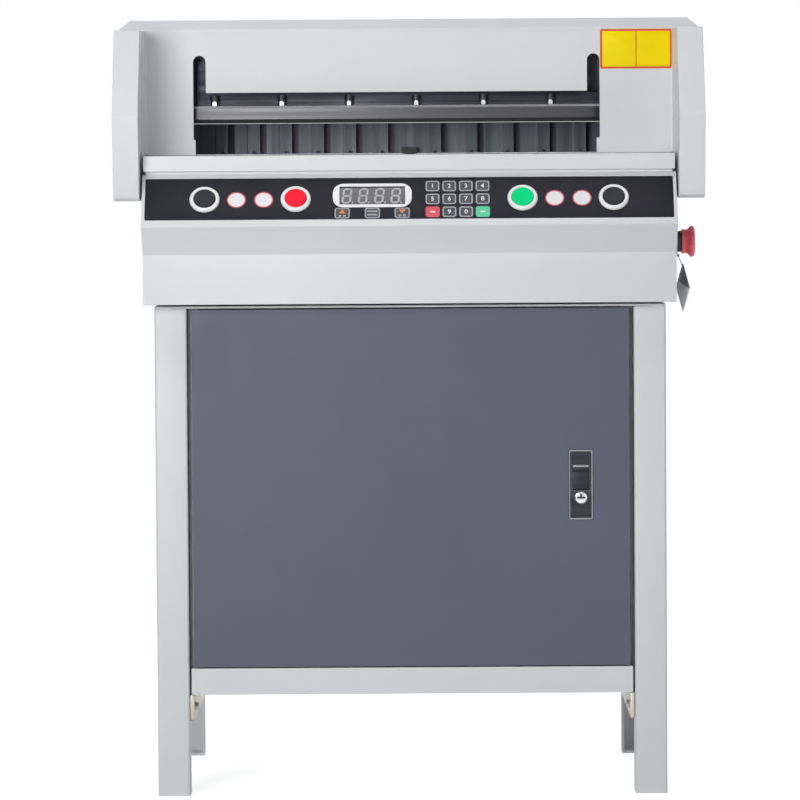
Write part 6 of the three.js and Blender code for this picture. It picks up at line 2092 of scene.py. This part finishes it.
caps = motor_part(motor_depth[0], motor_depth[0] + CAP_REAR, 0, edge=0.8)
motor_part(MOTOR_FACE - CAP_FRONT, MOTOR_FACE, 0, edge=0.8, into=caps)
stack_start = motor_depth[0] + CAP_REAR - OVERLAP
stack_end = MOTOR_FACE - CAP_FRONT + OVERLAP
pitch = (stack_end - stack_start) / SHEETS
for sheet in range(SHEETS):
    start = stack_start + pitch * sheet
    motor_part(start, start + pitch * SHEET_SHARE, SHEET_INSET, into=caps)
motor_part(stack_start, stack_end, SHEET_INSET + SHEET_GAP, into=caps)
hanger_back = MOTOR_FACE + HANGER_SHEET
hanger = block(motor_x, (MOTOR_FACE, hanger_back), (SCREW_AXIS[1], motor_height[1]), edge=0.4)
block(motor_x, (MOTOR_FACE - 0.2, hanger_back), (motor_height[0] + 14, SCREW_AXIS[1] + 0.5),
      edge=0.4, corner=3.0, into=hanger)
turned([(0, MOTOR_FACE + 1), (4.0, MOTOR_FACE + 1), (4.0, motor_depth[1] - 0.6),
        (3.4, motor_depth[1]), (0, motor_depth[1])], "y", SCREW_AXIS, into=hanger, sides=24)
make_piece("stepper", caps, "black_plastic", "gauge_motor", crease=28)
make_piece("stepper_hanger", hanger, "zinc_steel", crease=28)
stepper_screws = [(x, motor_depth[0], z) for x in inside(motor_x, STEPPER_INSET)
                  for z in inside(square_height, STEPPER_INSET)]
add_screws("stepper_screws", "socket", stepper_screws, (0, -1, 0), *STEPPER_SCREW, black_screw,
           "dark_steel")

# %% [markdown]
# ## Control board
#
# Behind the panel sits a circuit board with chips, capacitors and a terminal row.

# %% Control board
BOARD_FACE, BOARD_BACK = 12.3, 14.0
BOARD_RISE, BOARD_HOLE, BOARD_HOLE_INSET = (12.0, 68.0), 1.7, 4
CHIPS = ((-70, 40, 14, 14), (-40, 30, 8, 11), (-40, 48, 8, 11), (0, 40, 18, 18),
         (34, 28, 9, 12), (34, 50, 9, 12))
TERMINALS, TERMINAL_START, TERMINAL_PITCH = 8, 56, 5.1
CANS = ((66, 40, 5), (80, 40, 5), (94, 40, 4), (66, 56, 4), (84, 56, 5))
board_x = span("control_board")[0]
solder_side = BOARD_BACK - 0.1
board = block(board_x, (BOARD_FACE, BOARD_BACK), BOARD_RISE, corner=2.0)
holes = [drill(BOARD_HOLE, (BOARD_FACE - 2, BOARD_BACK + 2), "y", (x, rise), sides=16)
         for x in inside(board_x, BOARD_HOLE_INSET) for rise in inside(BOARD_RISE, BOARD_HOLE_INSET)]
make_piece("board", carve(board, *holes), "circuit_board", "control_board", turn=FACE)
chips = bmesh.new()
for x, rise, width, height in CHIPS:
    block(around(x, width / 2), (solder_side, BOARD_BACK + 2.2), around(rise, height / 2),
          edge=0.3, corner=0.5, into=chips)
for place in range(TERMINALS):
    x = TERMINAL_START + place * TERMINAL_PITCH
    block((x, x + 4.9), (solder_side, BOARD_BACK + 8), (14.5, 23.5), edge=0.4, corner=0.6,
          into=chips)
make_piece("board_chips", chips, "black_plastic", turn=FACE)
cans = bmesh.new()
for x, rise, radius in CANS:
    turned([(radius, solder_side), (radius, BOARD_BACK + 7), (radius - 0.6, BOARD_BACK + 7.6),
            (0, BOARD_BACK + 7.4)], "y", (x, rise), sides=24, into=cans)
make_piece("board_cans", cans, "zinc_steel", turn=FACE)

# %% [markdown]
# ## Solids that keep their CAD shape
#
# Pieces whose solid is already right, or that hide deep inside, keep it and get the real
# finish: castings, plates and shafts behind the covers.

# %% Dress the remaining solids
for part in frame["record"]["subparts"]:
    node = frame["nodes"][part["node"]]
    node.data.materials.clear()
    node.data.materials.append(SLOT_LOOKS[part["material_slot"]])
print("dressed", len(frame["nodes"]), "solids")
